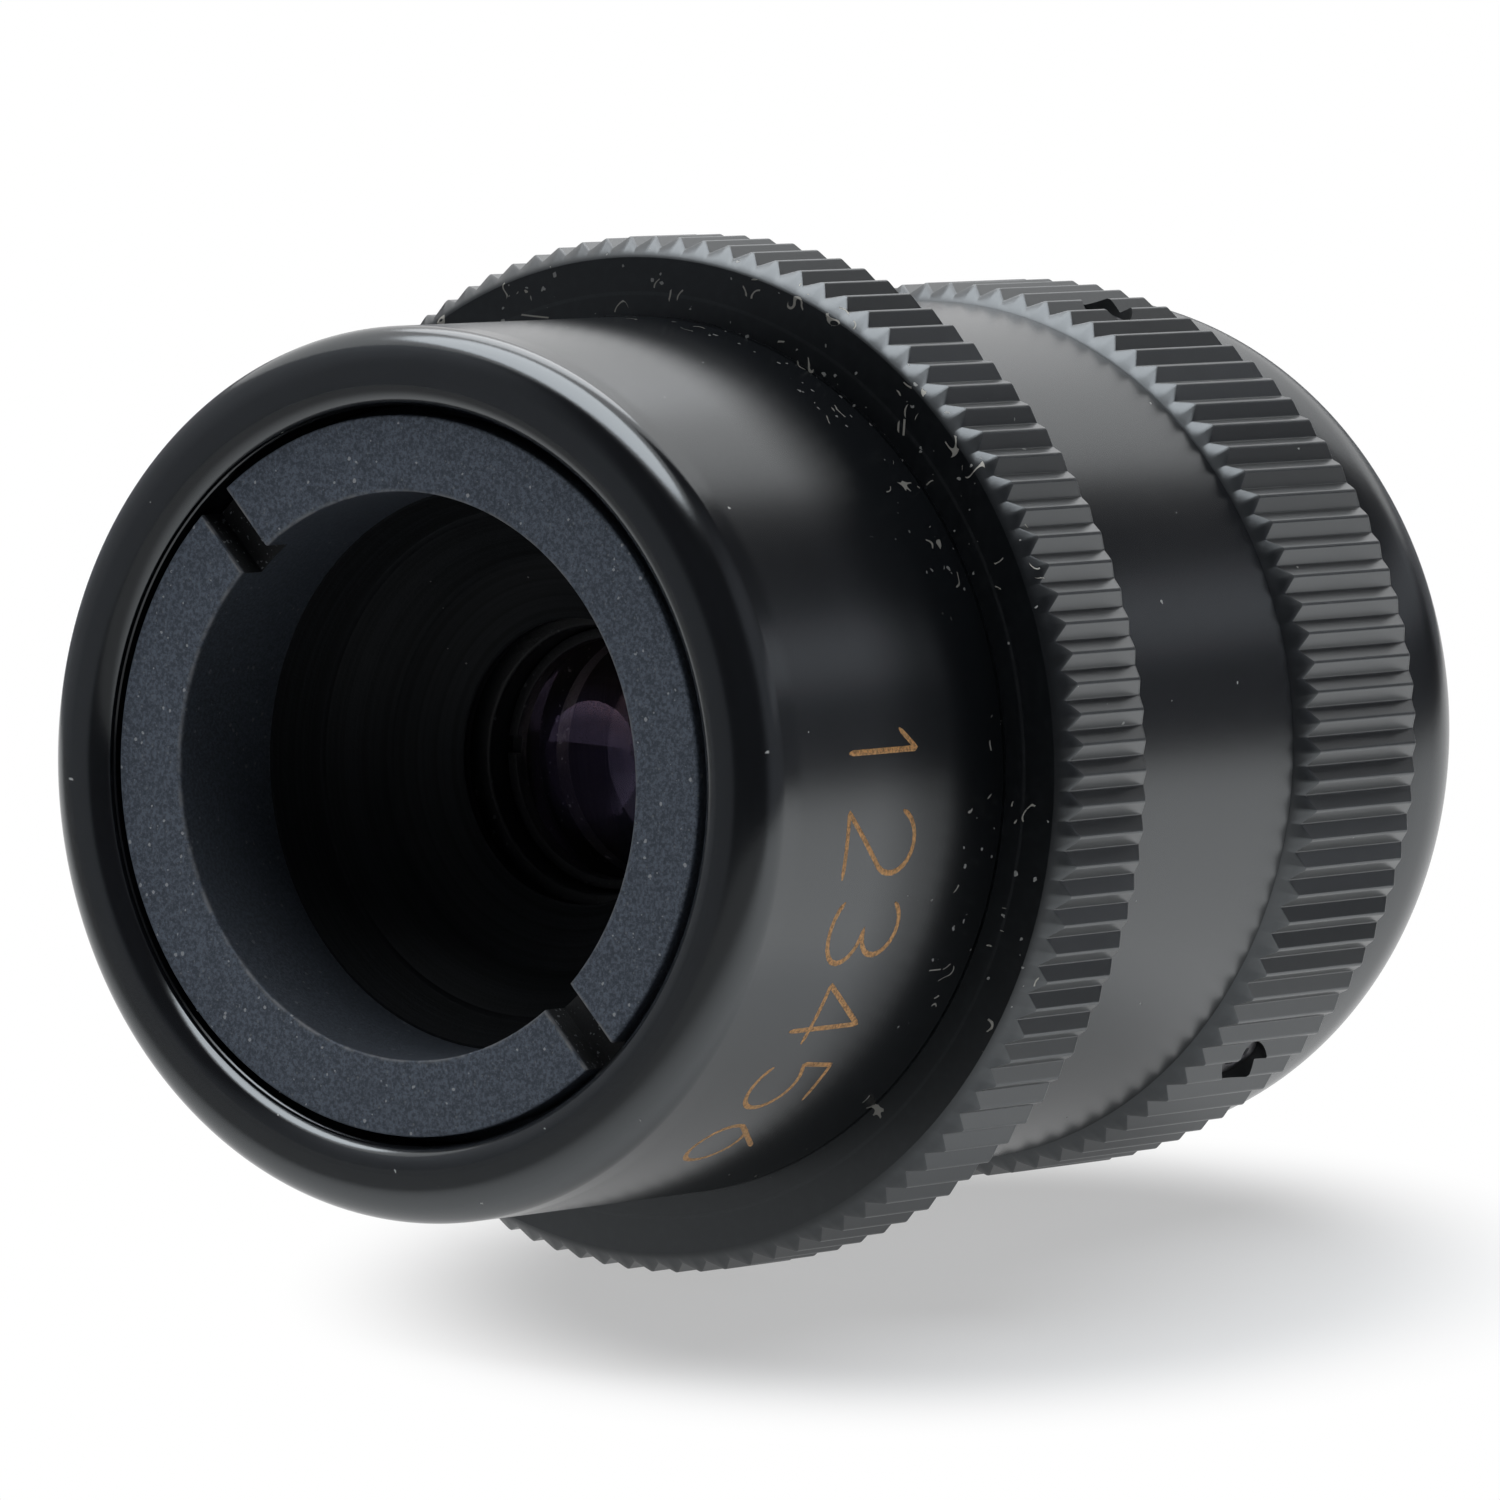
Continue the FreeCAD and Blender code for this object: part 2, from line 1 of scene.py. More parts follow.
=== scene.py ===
"""Looks of a helical-focus telescope eyepiece that lies on its side on a white table.

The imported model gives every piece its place. Each turned piece that shows is drawn again as a fine
surface of revolution, with the small broken edges that catch the light, and stands for its plain
node. Sizes are millimetres, turned into metres by MM where a mesh is made. The optical axis is Y,
the nosepiece points to -Y, and angles about the axis run from +Z towards +X.
"""
import json
import math

import bpy
import numpy as np
from mathutils import Matrix, Vector


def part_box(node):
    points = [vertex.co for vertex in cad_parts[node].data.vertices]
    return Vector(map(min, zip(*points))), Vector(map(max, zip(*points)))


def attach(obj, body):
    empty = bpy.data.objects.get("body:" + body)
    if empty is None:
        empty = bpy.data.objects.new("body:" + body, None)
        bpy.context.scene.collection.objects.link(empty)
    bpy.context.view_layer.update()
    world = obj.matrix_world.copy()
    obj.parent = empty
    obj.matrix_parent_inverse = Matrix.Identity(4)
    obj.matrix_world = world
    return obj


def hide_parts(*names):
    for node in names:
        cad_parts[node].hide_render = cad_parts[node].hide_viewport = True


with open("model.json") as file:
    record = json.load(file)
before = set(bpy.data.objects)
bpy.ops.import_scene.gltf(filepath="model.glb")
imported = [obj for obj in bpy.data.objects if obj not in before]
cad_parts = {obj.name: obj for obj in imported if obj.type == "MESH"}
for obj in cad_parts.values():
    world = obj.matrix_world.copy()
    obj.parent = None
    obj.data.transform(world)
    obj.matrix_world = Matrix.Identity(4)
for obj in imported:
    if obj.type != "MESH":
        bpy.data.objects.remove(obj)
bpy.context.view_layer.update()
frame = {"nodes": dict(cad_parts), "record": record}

MM = 0.001
TURN = 2 * math.pi
SEGMENTS = 288                      # steps round a turned piece
PIN_SIDES = 48                      # steps round a screw or a screw's hole
ARC_STEPS = 5                       # steps in a small rounding
SHARP_ANGLE = math.radians(40)      # edges that bend more than this are drawn sharp
KNURL_SHARP_ANGLE = math.radians(25)    # the same on the knurled rings, whose facets are narrow
SAME_AREA = 2e-9                    # square metres: faces whose areas differ by less count as equal
CLEAR = 1.0                         # how far a cutter reaches past the metal that it cuts


# ================================================================ sizes read from the frame
def radius_of(node):
    """Largest radius of a turned node, in millimetres."""
    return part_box(node)[1].z / MM


def stations_of(node):
    """Front and rear stations of a node along the axis, in millimetres."""
    low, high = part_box(node)
    return low.y / MM, high.y / MM


NOSE_RADIUS = radius_of("nosepiece_barrel")
LIP, SHOULDER = stations_of("nosepiece_barrel")
RING_FACE, RING_REAR = stations_of("front_retaining_ring")
LAND_RADIUS = radius_of("front_retaining_ring")
BAFFLE_SEAT_RADIUS = radius_of("baffle_cone")
BAFFLE_REAR = stations_of("baffle_cone")[1]
LOCK_FRONT, LOCK_REAR = stations_of("lock_ring")
LOCK_CREST = radius_of("lock_ring")
BAND_FRONT, SLEEVE_REAR = stations_of("focus_sleeve")
BAND_RADIUS = radius_of("focus_sleeve")
GRIP_FRONT, GRIP_REAR = stations_of("focus_grip_ring")
GRIP_CREST = radius_of("focus_grip_ring")
CAP_SPIGOT_FRONT, CAP_REAR = stations_of("eye_cap")
CAP_RADIUS = radius_of("eye_cap")
CELL_FRONT, CELL_REAR = stations_of("front_lens_cell")
CELL_FLANGE_RADIUS = radius_of("front_lens_cell")
CARRIAGE_RADIUS = radius_of("lens_carriage")
FRONT_KEEPER_FRONT, FRONT_KEEPER_REAR = stations_of("front_lens_keeper")
FRONT_KEEPER_RADIUS = radius_of("front_lens_keeper")
FRONT_GLASS_RADIUS = radius_of("front_crown")
FRONT_GLASS_VERTEX = stations_of("front_crown")[0]
EYE_KEEPER_FRONT, EYE_KEEPER_REAR = stations_of("eye_lens_keeper")
EYE_KEEPER_RADIUS = radius_of("eye_lens_keeper")
EYE_GLASS_RADIUS = radius_of("eye_lens")
EYE_GLASS_VERTEX = stations_of("eye_lens")[0]

# ================================================================ walls, steps and edges
# A rounding in brackets is its radius and the steps in it.
THREAD = 0.05
FINE_EDGE = 0.05                    # edges left by a touch of the tool
NOSE_MOUTH_RADIUS = LAND_RADIUS + THREAD
NOSE_THROAT_STEP = 1.1
NOSE_SKIRT_WALL = 2.425
SPIGOT_LENGTH = 4.7
LIP_OUTER_ROUNDING = (1.35, 28)
LIP_INNER_ROUNDING = (0.86, 16)
LIP_INNER_DROP = 0.45               # from the lip's front back to the sharp edge of the mouth
LIP_INNER_SLOPE = 60.0
MOUTH_LEDGE = 0.05                  # fine step turned in the mouth, beside the ring
MOUTH_LEDGE_DEPTH = 0.20
RING_WALL = 3.0
RING_COLLAR_STEP = 0.35
RING_COLLAR_LENGTH = 1.5
RING_EDGE = 0.09
SLOT_WIDTH = 1.5
SLOT_DEPTH = 1.2
SLOT_ANGLE = -46.0
BAFFLE_FLANGE = 0.8
BAFFLE_WALL = 0.7
BAFFLE_LIP = 0.1
BAFFLE_RIDGE = 0.22
BAFFLE_ROUNDING = (0.04, 2)
BAFFLE_STAGES = ((0.75, 1.9), (1.53, 1.9), (1.98, 1.3))    # narrowing of the radius, length
TOOTH_PITCH = 1.09
TOOTH_DEPTH = 0.37
TOOTH_CREST = 0.10
TOOTH_ROUNDING = 0.035              # how far the rounding of a tooth's corner reaches
KNURL_CHAMFER = 0.70
LOCK_WALL = 3.8
LOCK_PHASE = -0.65
GRIP_WALL = 1.52
GRIP_PHASE = 0.28
GRUB_COUNT = 3
GRUB_ANGLE = 13.3
GRUB_RADIUS = 1.05
GRUB_LENGTH = 1.3
GRUB_DIMPLE = 0.25
GRUB_POINT = (0.55, 0.35)           # radius of the flat foot, height of the cone above it
GRUB_BEVEL = 0.12
GRUB_SOCKET = 0.9                   # across the flats
GRUB_SOCKET_DEPTH = 0.65
GRUB_SOCKET_BEVEL = 0.06
GRUB_SOCKET_TAPER = 0.98            # width at the socket's bottom as a share of its mouth's
GRUB_DRILL_POINT = 0.1              # depth of the drill's cone below the socket
GRUB_AXIS_BORE = 0.02               # hair-thin bore that closes the profile
SLEEVE_WALL = 2.85
SLEEVE_SEAT_STEP = 0.9
SLEEVE_REAR_WALL = 0.9
SLEEVE_SHOULDER = 2.2
BAND_EDGE = 0.12
GROOVE_DEPTH = 1.3
GROOVE_HALF_WIDTH = 1.25
GROOVE_POINTS = 60                  # along its centre line
GROOVE_END = (88.0, 9)              # degrees of arc on each side of an end, and points in it
GUIDE_COUNT = 3
GUIDE_ANGLE = 60.0
GUIDE_FROM_BAND = 4.3
CAP_ROUNDING = (4.1, 36)
CAP_BORE_GAP = 0.6
CAP_LEDGE = 2.2
CAP_END_WALL = 1.5
CAP_OPENING_ROUNDING = (0.6, 10)
CELL_BORE = 4.8
CELL_BORE_ROUNDING = (0.14, 3)
CELL_SNOUT_WALL = 1.1
CELL_SNOUT_LENGTH = 2.2
CELL_SNOUT_ROUNDING = (0.08, 3)
CELL_BODY_WALL = 1.75
CELL_FLANGE_LENGTH = 0.8
CELL_SEAT_HEIGHT = 0.7
CELL_SEAT_LENGTH = 0.55
FRONT_KEEPER_WALL = 0.4
FRONT_KEEPER_ROUNDING = (FINE_EDGE, 3)
FRONT_KEEPER_SLOT = (0.6, 0.3)      # width, depth
EYE_KEEPER_WALL = 0.9
EYE_KEEPER_SLOT = (1.6, 0.8)
KEEPER_SLOT_ANGLE = 90.0
FRONT_GLASS = (16.0, -12.0, 0.9)    # front radius, rear radius, least thickness
EYE_GLASS = (26.0, -60.0, 1.8)
GLASS_RINGS = 28                    # rings of points on each surface of a lens
GLASS_SPREAD = 0.9                  # power that puts those rings a little closer at the rim


# ================================================================ mesh helpers
def outward(points, faces):
    """Turns the faces round if the closed mesh they make has a negative volume, which is the sum
    over its triangles of the triple product of their corners."""
    faces = np.asarray(faces)
    a, b = points[faces[:, 0]], points[faces[:, 1]]
    volume = 0.0
    for corner in range(2, faces.shape[1]):
        c = points[faces[:, corner]]
        volume += np.einsum("ij,ij->", a, np.cross(b, c))
        b = c
    return faces if volume > 0 else faces[:, ::-1]


def new_object(name, points, *blocks):
    """An object at the origin from points in millimetres and one or more arrays of faces."""
    mesh = bpy.data.meshes.new(name)
    mesh.from_pydata((points * MM).tolist(), [], [face for block in blocks for face in block.tolist()])
    obj = bpy.data.objects.new(name, mesh)
    bpy.context.scene.collection.objects.link(obj)
    return obj


def piece(name, points, faces, body, slot, node=None, material=None, sharp=SHARP_ANGLE):
    """A piece of the eyepiece. It rides on a body, has its slot's material unless another is given,
    and stands for a node if it is given one."""
    obj = new_object(name, points, faces)
    shade(obj, sharp)
    obj.data.materials.append(material or MATERIALS[slot])
    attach(obj, body)
    if node:
        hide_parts(node)
    return obj


def shade(obj, sharp):
    """Smooth shading that stops at edges bent by more than the angle sharp. Each corner's normal
    follows the largest of its faces, so that flats stay flat right up to a small rounding."""
    mesh = obj.data
    mesh.polygons.foreach_set("use_smooth", np.ones(len(mesh.polygons), bool))
    mesh.set_sharp_from_angle(angle=sharp)
    even = obj.modifiers.new("even_normals", "WEIGHTED_NORMAL")
    even.weight = 100
    even.thresh = SAME_AREA
    even.keep_sharp = True


def rounded(corners):
    """Closed outline through (radius, y) corners as an array. A third number rounds a corner, in as
    many steps as a fourth says: the arc touches both sides, so it starts radius / tan(half the
    angle) before the corner."""
    points = []
    for index, (radius, station, *rounding) in enumerate(corners):
        here = np.array([radius, station], float)
        if not rounding:
            points.append(here[None])
            continue
        reach, steps = (*rounding, ARC_STEPS)[:2]
        before = np.array(corners[index - 1][:2], float) - here
        after = np.array(corners[(index + 1) % len(corners)][:2], float) - here
        before /= np.linalg.norm(before)
        after /= np.linalg.norm(after)
        half = math.acos(np.clip(before @ after, -1, 1)) / 2
        bisector = (before + after) / np.linalg.norm(before + after)
        centre = here + bisector * reach / math.sin(half)
        sweep = math.pi / 2 - half
        along = np.linspace(-sweep, sweep, steps + 1)[:, None]
        across = before - bisector * (before @ bisector)
        across /= np.linalg.norm(across)
        points.append(centre - reach * (np.cos(along) * bisector + np.sin(along) * across))
    return np.concatenate(points)


def grid_faces(rows, columns, close_rows, close_columns):
    """Quads of a grid of points, numbered row by row, wrapped round in either direction."""
    row = np.arange(rows if close_rows else rows - 1)[:, None]
    column = np.arange(columns if close_columns else columns - 1)[None, :]
    next_row = (row + 1) % rows
    next_column = (column + 1) % columns
    corners = (row * columns + column, next_row * columns + column,
               next_row * columns + next_column, row * columns + next_column)
    return np.stack([np.broadcast_to(c, (row.size, column.size)) for c in corners], -1).reshape(-1, 4)


def even_angles(count):
    """Angles of even steps round a full turn."""
    return np.arange(count) * TURN / count


def turned(radius, angle, station):
    """Points about the Y axis: (r sin a, y, r cos a) for a radius r, an angle a and a station y."""
    parts = np.broadcast_arrays(radius * np.sin(angle), station, radius * np.cos(angle))
    return np.stack(parts, -1).reshape(-1, 3)


def turned_ring(name, body, slot, node, corners):
    """A ring or tube: its rounded outline, repeated at even steps round the Y axis and closed both
    ways."""
    outline = rounded(corners)
    points = turned(outline[:, :1], even_angles(SEGMENTS), outline[:, 1:])
    faces = grid_faces(len(outline), SEGMENTS, True, True)
    return piece(name, points, outward(points, faces), body, slot, node)


def capped(rings, ends):
    """Points and triangles of a closed solid from an array of equal rings of points. The walls join
    each ring to the next, and a fan joins the first and the last ring to its own end point."""
    count, sides = rings.shape[:2]
    points = np.concatenate([rings.reshape(-1, 3), ends])
    walls = grid_faces(count, sides, False, True)
    here = np.arange(sides)
    there = (here + 1) % sides
    last = (count - 1) * sides
    pole = np.full(sides, count * sides)
    triangles = np.concatenate([
        walls[:, [0, 1, 2]], walls[:, [0, 2, 3]],
        np.stack([pole, here, there], -1),
        np.stack([pole + 1, last + there, last + here], -1),
    ])
    return points, outward(points, triangles)


def rings_up(levels, station, angle):
    """Rings of points round a line along +Z at a station: one for each (radius, height)."""
    return np.stack([
        np.stack(np.broadcast_arrays(radius * np.cos(angle), station + radius * np.sin(angle), height), -1)
        for radius, height in levels
    ])


def cut(obj, cutters, sharp=SHARP_ANGLE):
    """Takes closed cutters, given as (points, faces), away from a piece and shades it again."""
    obj.modifiers.clear()
    tools = [new_object(f"cutter_{number}", *solid) for number, solid in enumerate(cutters)]
    for tool in tools:
        modifier = obj.modifiers.new(tool.name, "BOOLEAN")
        modifier.operation = "DIFFERENCE"
        modifier.solver = "EXACT"
        modifier.object = tool
    bpy.context.view_layer.update()
    graph = bpy.context.evaluated_depsgraph_get()
    result = bpy.data.meshes.new_from_object(obj.evaluated_get(graph))
    obj.modifiers.clear()
    spare = [obj.data] + [tool.data for tool in tools]
    obj.data = result
    for tool in tools:
        bpy.data.objects.remove(tool)
    for mesh in spare:
        bpy.data.meshes.remove(mesh)
    shade(obj, sharp)


def about_axis(points, degrees):
    """Points turned about the Y axis, from +Z towards +X."""
    turn = math.radians(degrees)
    cos, sin = math.cos(turn), math.sin(turn)
    x, y, z = points.T
    return np.stack([x * cos + z * sin, y, z * cos - x * sin], -1)


def around(solid, count, first):
    """Copies of a (points, faces) solid evenly spaced about the optical axis."""
    points, faces = solid
    return [(about_axis(points, first + index * 360.0 / count), faces) for index in range(count)]


def cut_slot(ring, radius, width, front, rear, degrees):
    """Cuts a straight slot right across a ring, between two stations: the cutter is a box, centred
    on the axis and turned about it."""
    low, high = (-width / 2, front, -radius - CLEAR), (width / 2, rear, radius + CLEAR)
    points = np.array([[(low, high)[(i >> k) & 1][k] for k in range(3)] for i in range(8)], float)
    faces = [(0, 2, 3, 1), (4, 5, 7, 6), (0, 1, 5, 4), (2, 6, 7, 3), (0, 4, 6, 2), (1, 3, 7, 5)]
    cut(ring, [(about_axis(points, degrees), outward(points, faces))])


def join(solids):
    """One array of points and one of faces from several solids."""
    starts = np.cumsum([0] + [len(points) for points, _ in solids])
    points = np.concatenate([points for points, _ in solids])
    return points, np.concatenate([faces + start for (_, faces), start in zip(solids, starts)])


# ================================================================ shader helpers
def add_node(tree, kind, settings, sockets):
    """Makes a shader node: first its settings, then a value or a link for each socket."""
    node = tree.nodes.new(kind)
    for name, setting in settings.items():
        setattr(node, name, setting)
    for name, item in sockets.items():
        if isinstance(item, Value):
            tree.links.new(item.socket, node.inputs[name])
        else:
            node.inputs[name].default_value = item
    return node


class Value:
    """Wraps an output socket, so that shader maths is written as a Python expression."""

    def __init__(self, tree, socket):
        self.tree = tree
        self.socket = socket

    def maths(self, operation, *items):
        """A Math node on values and numbers, in the given order."""
        node = add_node(self.tree, "ShaderNodeMath", {"operation": operation}, dict(enumerate(items)))
        return Value(self.tree, node.outputs[0])

    def __add__(self, other):
        return self.maths("ADD", self, other)

    def __sub__(self, other):
        return self.maths("SUBTRACT", self, other)

    def __rsub__(self, other):
        return self.maths("SUBTRACT", other, self)

    def __mul__(self, other):
        return self.maths("MULTIPLY", self, other)

    def __truediv__(self, other):
        return self.maths("DIVIDE", self, other)

    def __pow__(self, other):
        return self.maths("POWER", self, other)

    def __gt__(self, other):
        return self.maths("GREATER_THAN", self, other)

    def __lt__(self, other):
        return self.maths("LESS_THAN", self, other)

    def __abs__(self):
        return self.maths("ABSOLUTE", self)

    __radd__ = __add__
    __rmul__ = __mul__

    def most(self, other):
        return self.maths("MAXIMUM", self, other)

    def ramp(self, start, end):
        """0 at start, 1 at end, and a smooth S between. Start may be the larger."""
        node = add_node(self.tree, "ShaderNodeMapRange", {"interpolation_type": "SMOOTHSTEP"},
                        {"Value": self, "From Min": start, "From Max": end})
        return Value(self.tree, node.outputs["Result"])

    def rising_from(self, least):
        """Goes from least to 1 while the value goes from 0 to 1."""
        return self * (1.0 - least) + least


class Finish:
    """A material or world being made."""

    def __init__(self, owner):
        owner.use_nodes = True
        self.owner = owner
        self.tree = owner.node_tree
        self.tree.nodes.clear()

    def node(self, kind, settings, sockets, *outputs):
        """Makes any node and wraps the outputs that are asked for, by name or number."""
        node = add_node(self.tree, "ShaderNode" + kind, settings, sockets)
        values = [Value(self.tree, node.outputs[output]) for output in outputs]
        return values[0] if len(values) == 1 else values

    def place(self):
        """Object coordinates in millimetres, their three parts and the distance from the axis."""
        metres = self.node("TexCoord", {}, {}, "Object")
        place = self.node("VectorMath", {"operation": "SCALE"}, {0: metres, "Scale": 1 / MM}, 0)
        x, y, z = self.node("SeparateXYZ", {}, {0: place}, 0, 1, 2)
        return place, x, y, z, (x * x + z * z) ** 0.5

    def noise(self, place, scale, detail=2.0, roughness=0.5):
        sockets = {"Vector": place, "Scale": scale, "Detail": detail, "Roughness": roughness}
        return self.node("TexNoise", {}, sockets, "Fac")

    def tool_rings(self, radius, y, scale, detail=2.0):
        """Noise that runs round the axis, as the marks of a turning tool do."""
        section = self.node("CombineXYZ", {}, {0: radius, 1: y}, 0)
        return self.noise(section, scale, detail)

    def cells(self, place, scale, channel):
        """Distance to the nearest cell's point, and one of that cell's own random numbers."""
        sockets = {"Vector": place, "Scale": scale}
        distance, colour = self.node("TexVoronoi", {}, sockets, "Distance", "Color")
        return distance, self.node("SeparateXYZ", {}, {0: colour}, channel)

    def scattered(self, place, scale, share, size):
        """Mask of scattered specks: near a cell's point, in the share of cells whose random number
        is low, and the lower it is the larger the speck."""
        distance, number = self.cells(place, scale, 0)
        return distance < (1.0 - number / share) * size * scale

    def fibres(self, place, scale, share, width, patch=0.36, waves=1.6):
        """Mask of short curved threads: where a noise, finer than the cells by waves, is within width
        of its middle value, inside a round patch in the share of cells with a low random number."""
        distance, number = self.cells(place, scale, 1)
        thread = abs(self.noise(place, scale * waves, detail=0.0) - 0.5) < width
        return thread * (distance < patch) * (number < share)

    def shaken(self, place, scale, reach):
        """Coordinates moved about by coloured noise, by up to half of reach each way."""
        colour = self.node("TexNoise", {}, {"Vector": place, "Scale": scale, "Detail": 1.0}, "Color")
        centred = self.node("VectorMath", {"operation": "SUBTRACT"}, {0: colour, 1: (0.5, 0.5, 0.5)}, 0)
        sockets = {0: centred, 1: (reach, reach, reach), 2: place}
        return self.node("VectorMath", {"operation": "MULTIPLY_ADD"}, sockets, 0)

    def blend(self, share, first, second):
        """Mixes two colours by a share."""
        first, second = [item if isinstance(item, Value) else (*item, 1) for item in (first, second)]
        return self.node("Mix", {"data_type": "RGBA"}, {0: share, 6: first, 7: second}, 2)

    def layered(self, colour, *layers):
        """Lays (share, colour) layers over a colour, one after the other."""
        for share, tone in layers:
            colour = self.blend(share, colour, tone)
        return colour

    def bump(self, height):
        """Normal of a surface with the given height in millimetres."""
        return self.node("Bump", {}, {"Height": height, "Distance": MM}, "Normal")

    def skin(self, colour, roughness, **sockets):
        """Principled shader. Its other sockets are named with _ for a space."""
        named = {key.replace("_", " ").title().replace("Ior", "IOR"): item for key, item in sockets.items()}
        named["Base Color"] = colour if isinstance(colour, Value) else (*colour, 1)
        named["Roughness"] = roughness
        return self.node("BsdfPrincipled", {}, named, 0)

    def mixed(self, share, first, second):
        """Mixes two shaders by a share."""
        return self.node("MixShader", {}, {0: share, 1: first, 2: second}, 0)

    def output(self, shader, kind="OutputMaterial"):
        """Wires a shader to the output."""
        self.node(kind, {}, {"Surface": shader})
        return self.owner


def finish(name):
    return Finish(bpy.data.materials.new(name))


# ================================================================ materials
ANODISED_IOR = 1.85                 # the clear oxide layer over the dye
SATIN = (0.0026, 0.0029, 0.0036)
SATIN_LIGHT = (0.0045, 0.0050, 0.0062)
SATIN_ROUGHNESS = 0.19
SKIN_TINT = (0.90, 0.96, 1.0, 1)    # the sealed oxide mirrors a little bluer than white
LIP_FINISH = (LIP + 2.6, LIP + 1.9)     # stations where the lip's smoother finish starts and is whole
KNURL_CLOUD = (0.014, 0.015, 0.017)
# painted light: the teeth's paler tone stands in for the light that the rough teeth catch
TOOTH_LIGHT_TONE = (0.032, 0.033, 0.033)
TOOTH_START = 0.4                   # how far behind a ring's face the paler, painted-light tone of its teeth starts
CREST_TONE = (0.10, 0.105, 0.11)
CREST_WEAR = 0.06                   # depth of the wear on a crest
CREST_LEEWAY = 0.1                  # past this the wear of the grip ring's crests ends
ROUGHER_RADII = (GRIP_CREST - 0.9, GRIP_CREST - 0.6)   # a knurled ring gets rougher between these
DUST = (0.46, 0.46, 0.44)
LINT = (0.56, 0.54, 0.48)
DUST_REACH = (3.4, 0.2)             # distances from the corner where dust starts and is thickest
DUST_UPPER = (4.5, 8.5)             # heights where the upper patch starts and is thickest
DUST_LOWER = ((0.5, -1.5), (-9.0, -6.0))    # the same for the lower patch, from above and from below
DUST_LEAST = 0.15                   # share outside the two patches
CORNER_SHADE_TONE = (0.006, 0.007, 0.008)        # painted shade on the barrel beside the lock ring, a dull dark layer
CORNER_SHADE_SHARE = 0.70
CORNER_SHADE_FRONT = (-8.2, -4.0)           # stations where the painted shade starts and is whole
CORNER_SHADE_REAR = (0.3, -0.1)
CORNER_SHADE_HEIGHTS = (-3.0, 8.0)          # the painted shade is thinner low on the barrel
CORNER_SHADE_LEAST = 0.65
RING_TONES = ((0.034, 0.044, 0.060), (0.102, 0.124, 0.160))
# painted shade inside the ring, behind its face
RING_BORE_SHADE_TONE = (0.008, 0.010, 0.013)
RING_WORN_TONE = (0.19, 0.19, 0.19)
SPECK_TONE = (0.34, 0.35, 0.36)
FINE_SPECK_TONE = (0.17, 0.18, 0.19)
# painted shade on the floors of the slots
SLOT_SHADE_TONE = (0.004, 0.005, 0.006)
SLOT_FLECK_TONE = (0.16, 0.17, 0.18)
CELL_TONE = (0.003, 0.0033, 0.004)
TOUCH = 0.02                        # leeway of a mask that ends at a surface
BAFFLE_TONES = ((0.0030, 0.0034, 0.0040), (0.0078, 0.0086, 0.0100))
BAFFLE_SPECK_TONE = (0.10, 0.10, 0.10)
GLASS_BODY = (0.90, 0.86, 0.90)
GLASS_IOR = 1.60
COATING_TINTS = ((0.52, 0.44, 0.76, 1), (1.0, 0.56, 0.58, 1))    # low on the lens, high on it
COATING_HEIGHTS = (-0.4, 3.4)
COATING_LEAN = 0.35                 # the change of tint leans towards +X
GOLD_TONES = ((0.20, 0.105, 0.040), (0.72, 0.38, 0.14))
GOLD_WORN_TONE = (0.62, 0.38, 0.17)


def on_teeth(y, front, rear):
    """1 along a knurl's teeth, 0 on its two faces."""
    return (y.ramp(front + TOOTH_START, front + KNURL_CHAMFER)
            * y.ramp(rear - TOOTH_START, rear - KNURL_CHAMFER))


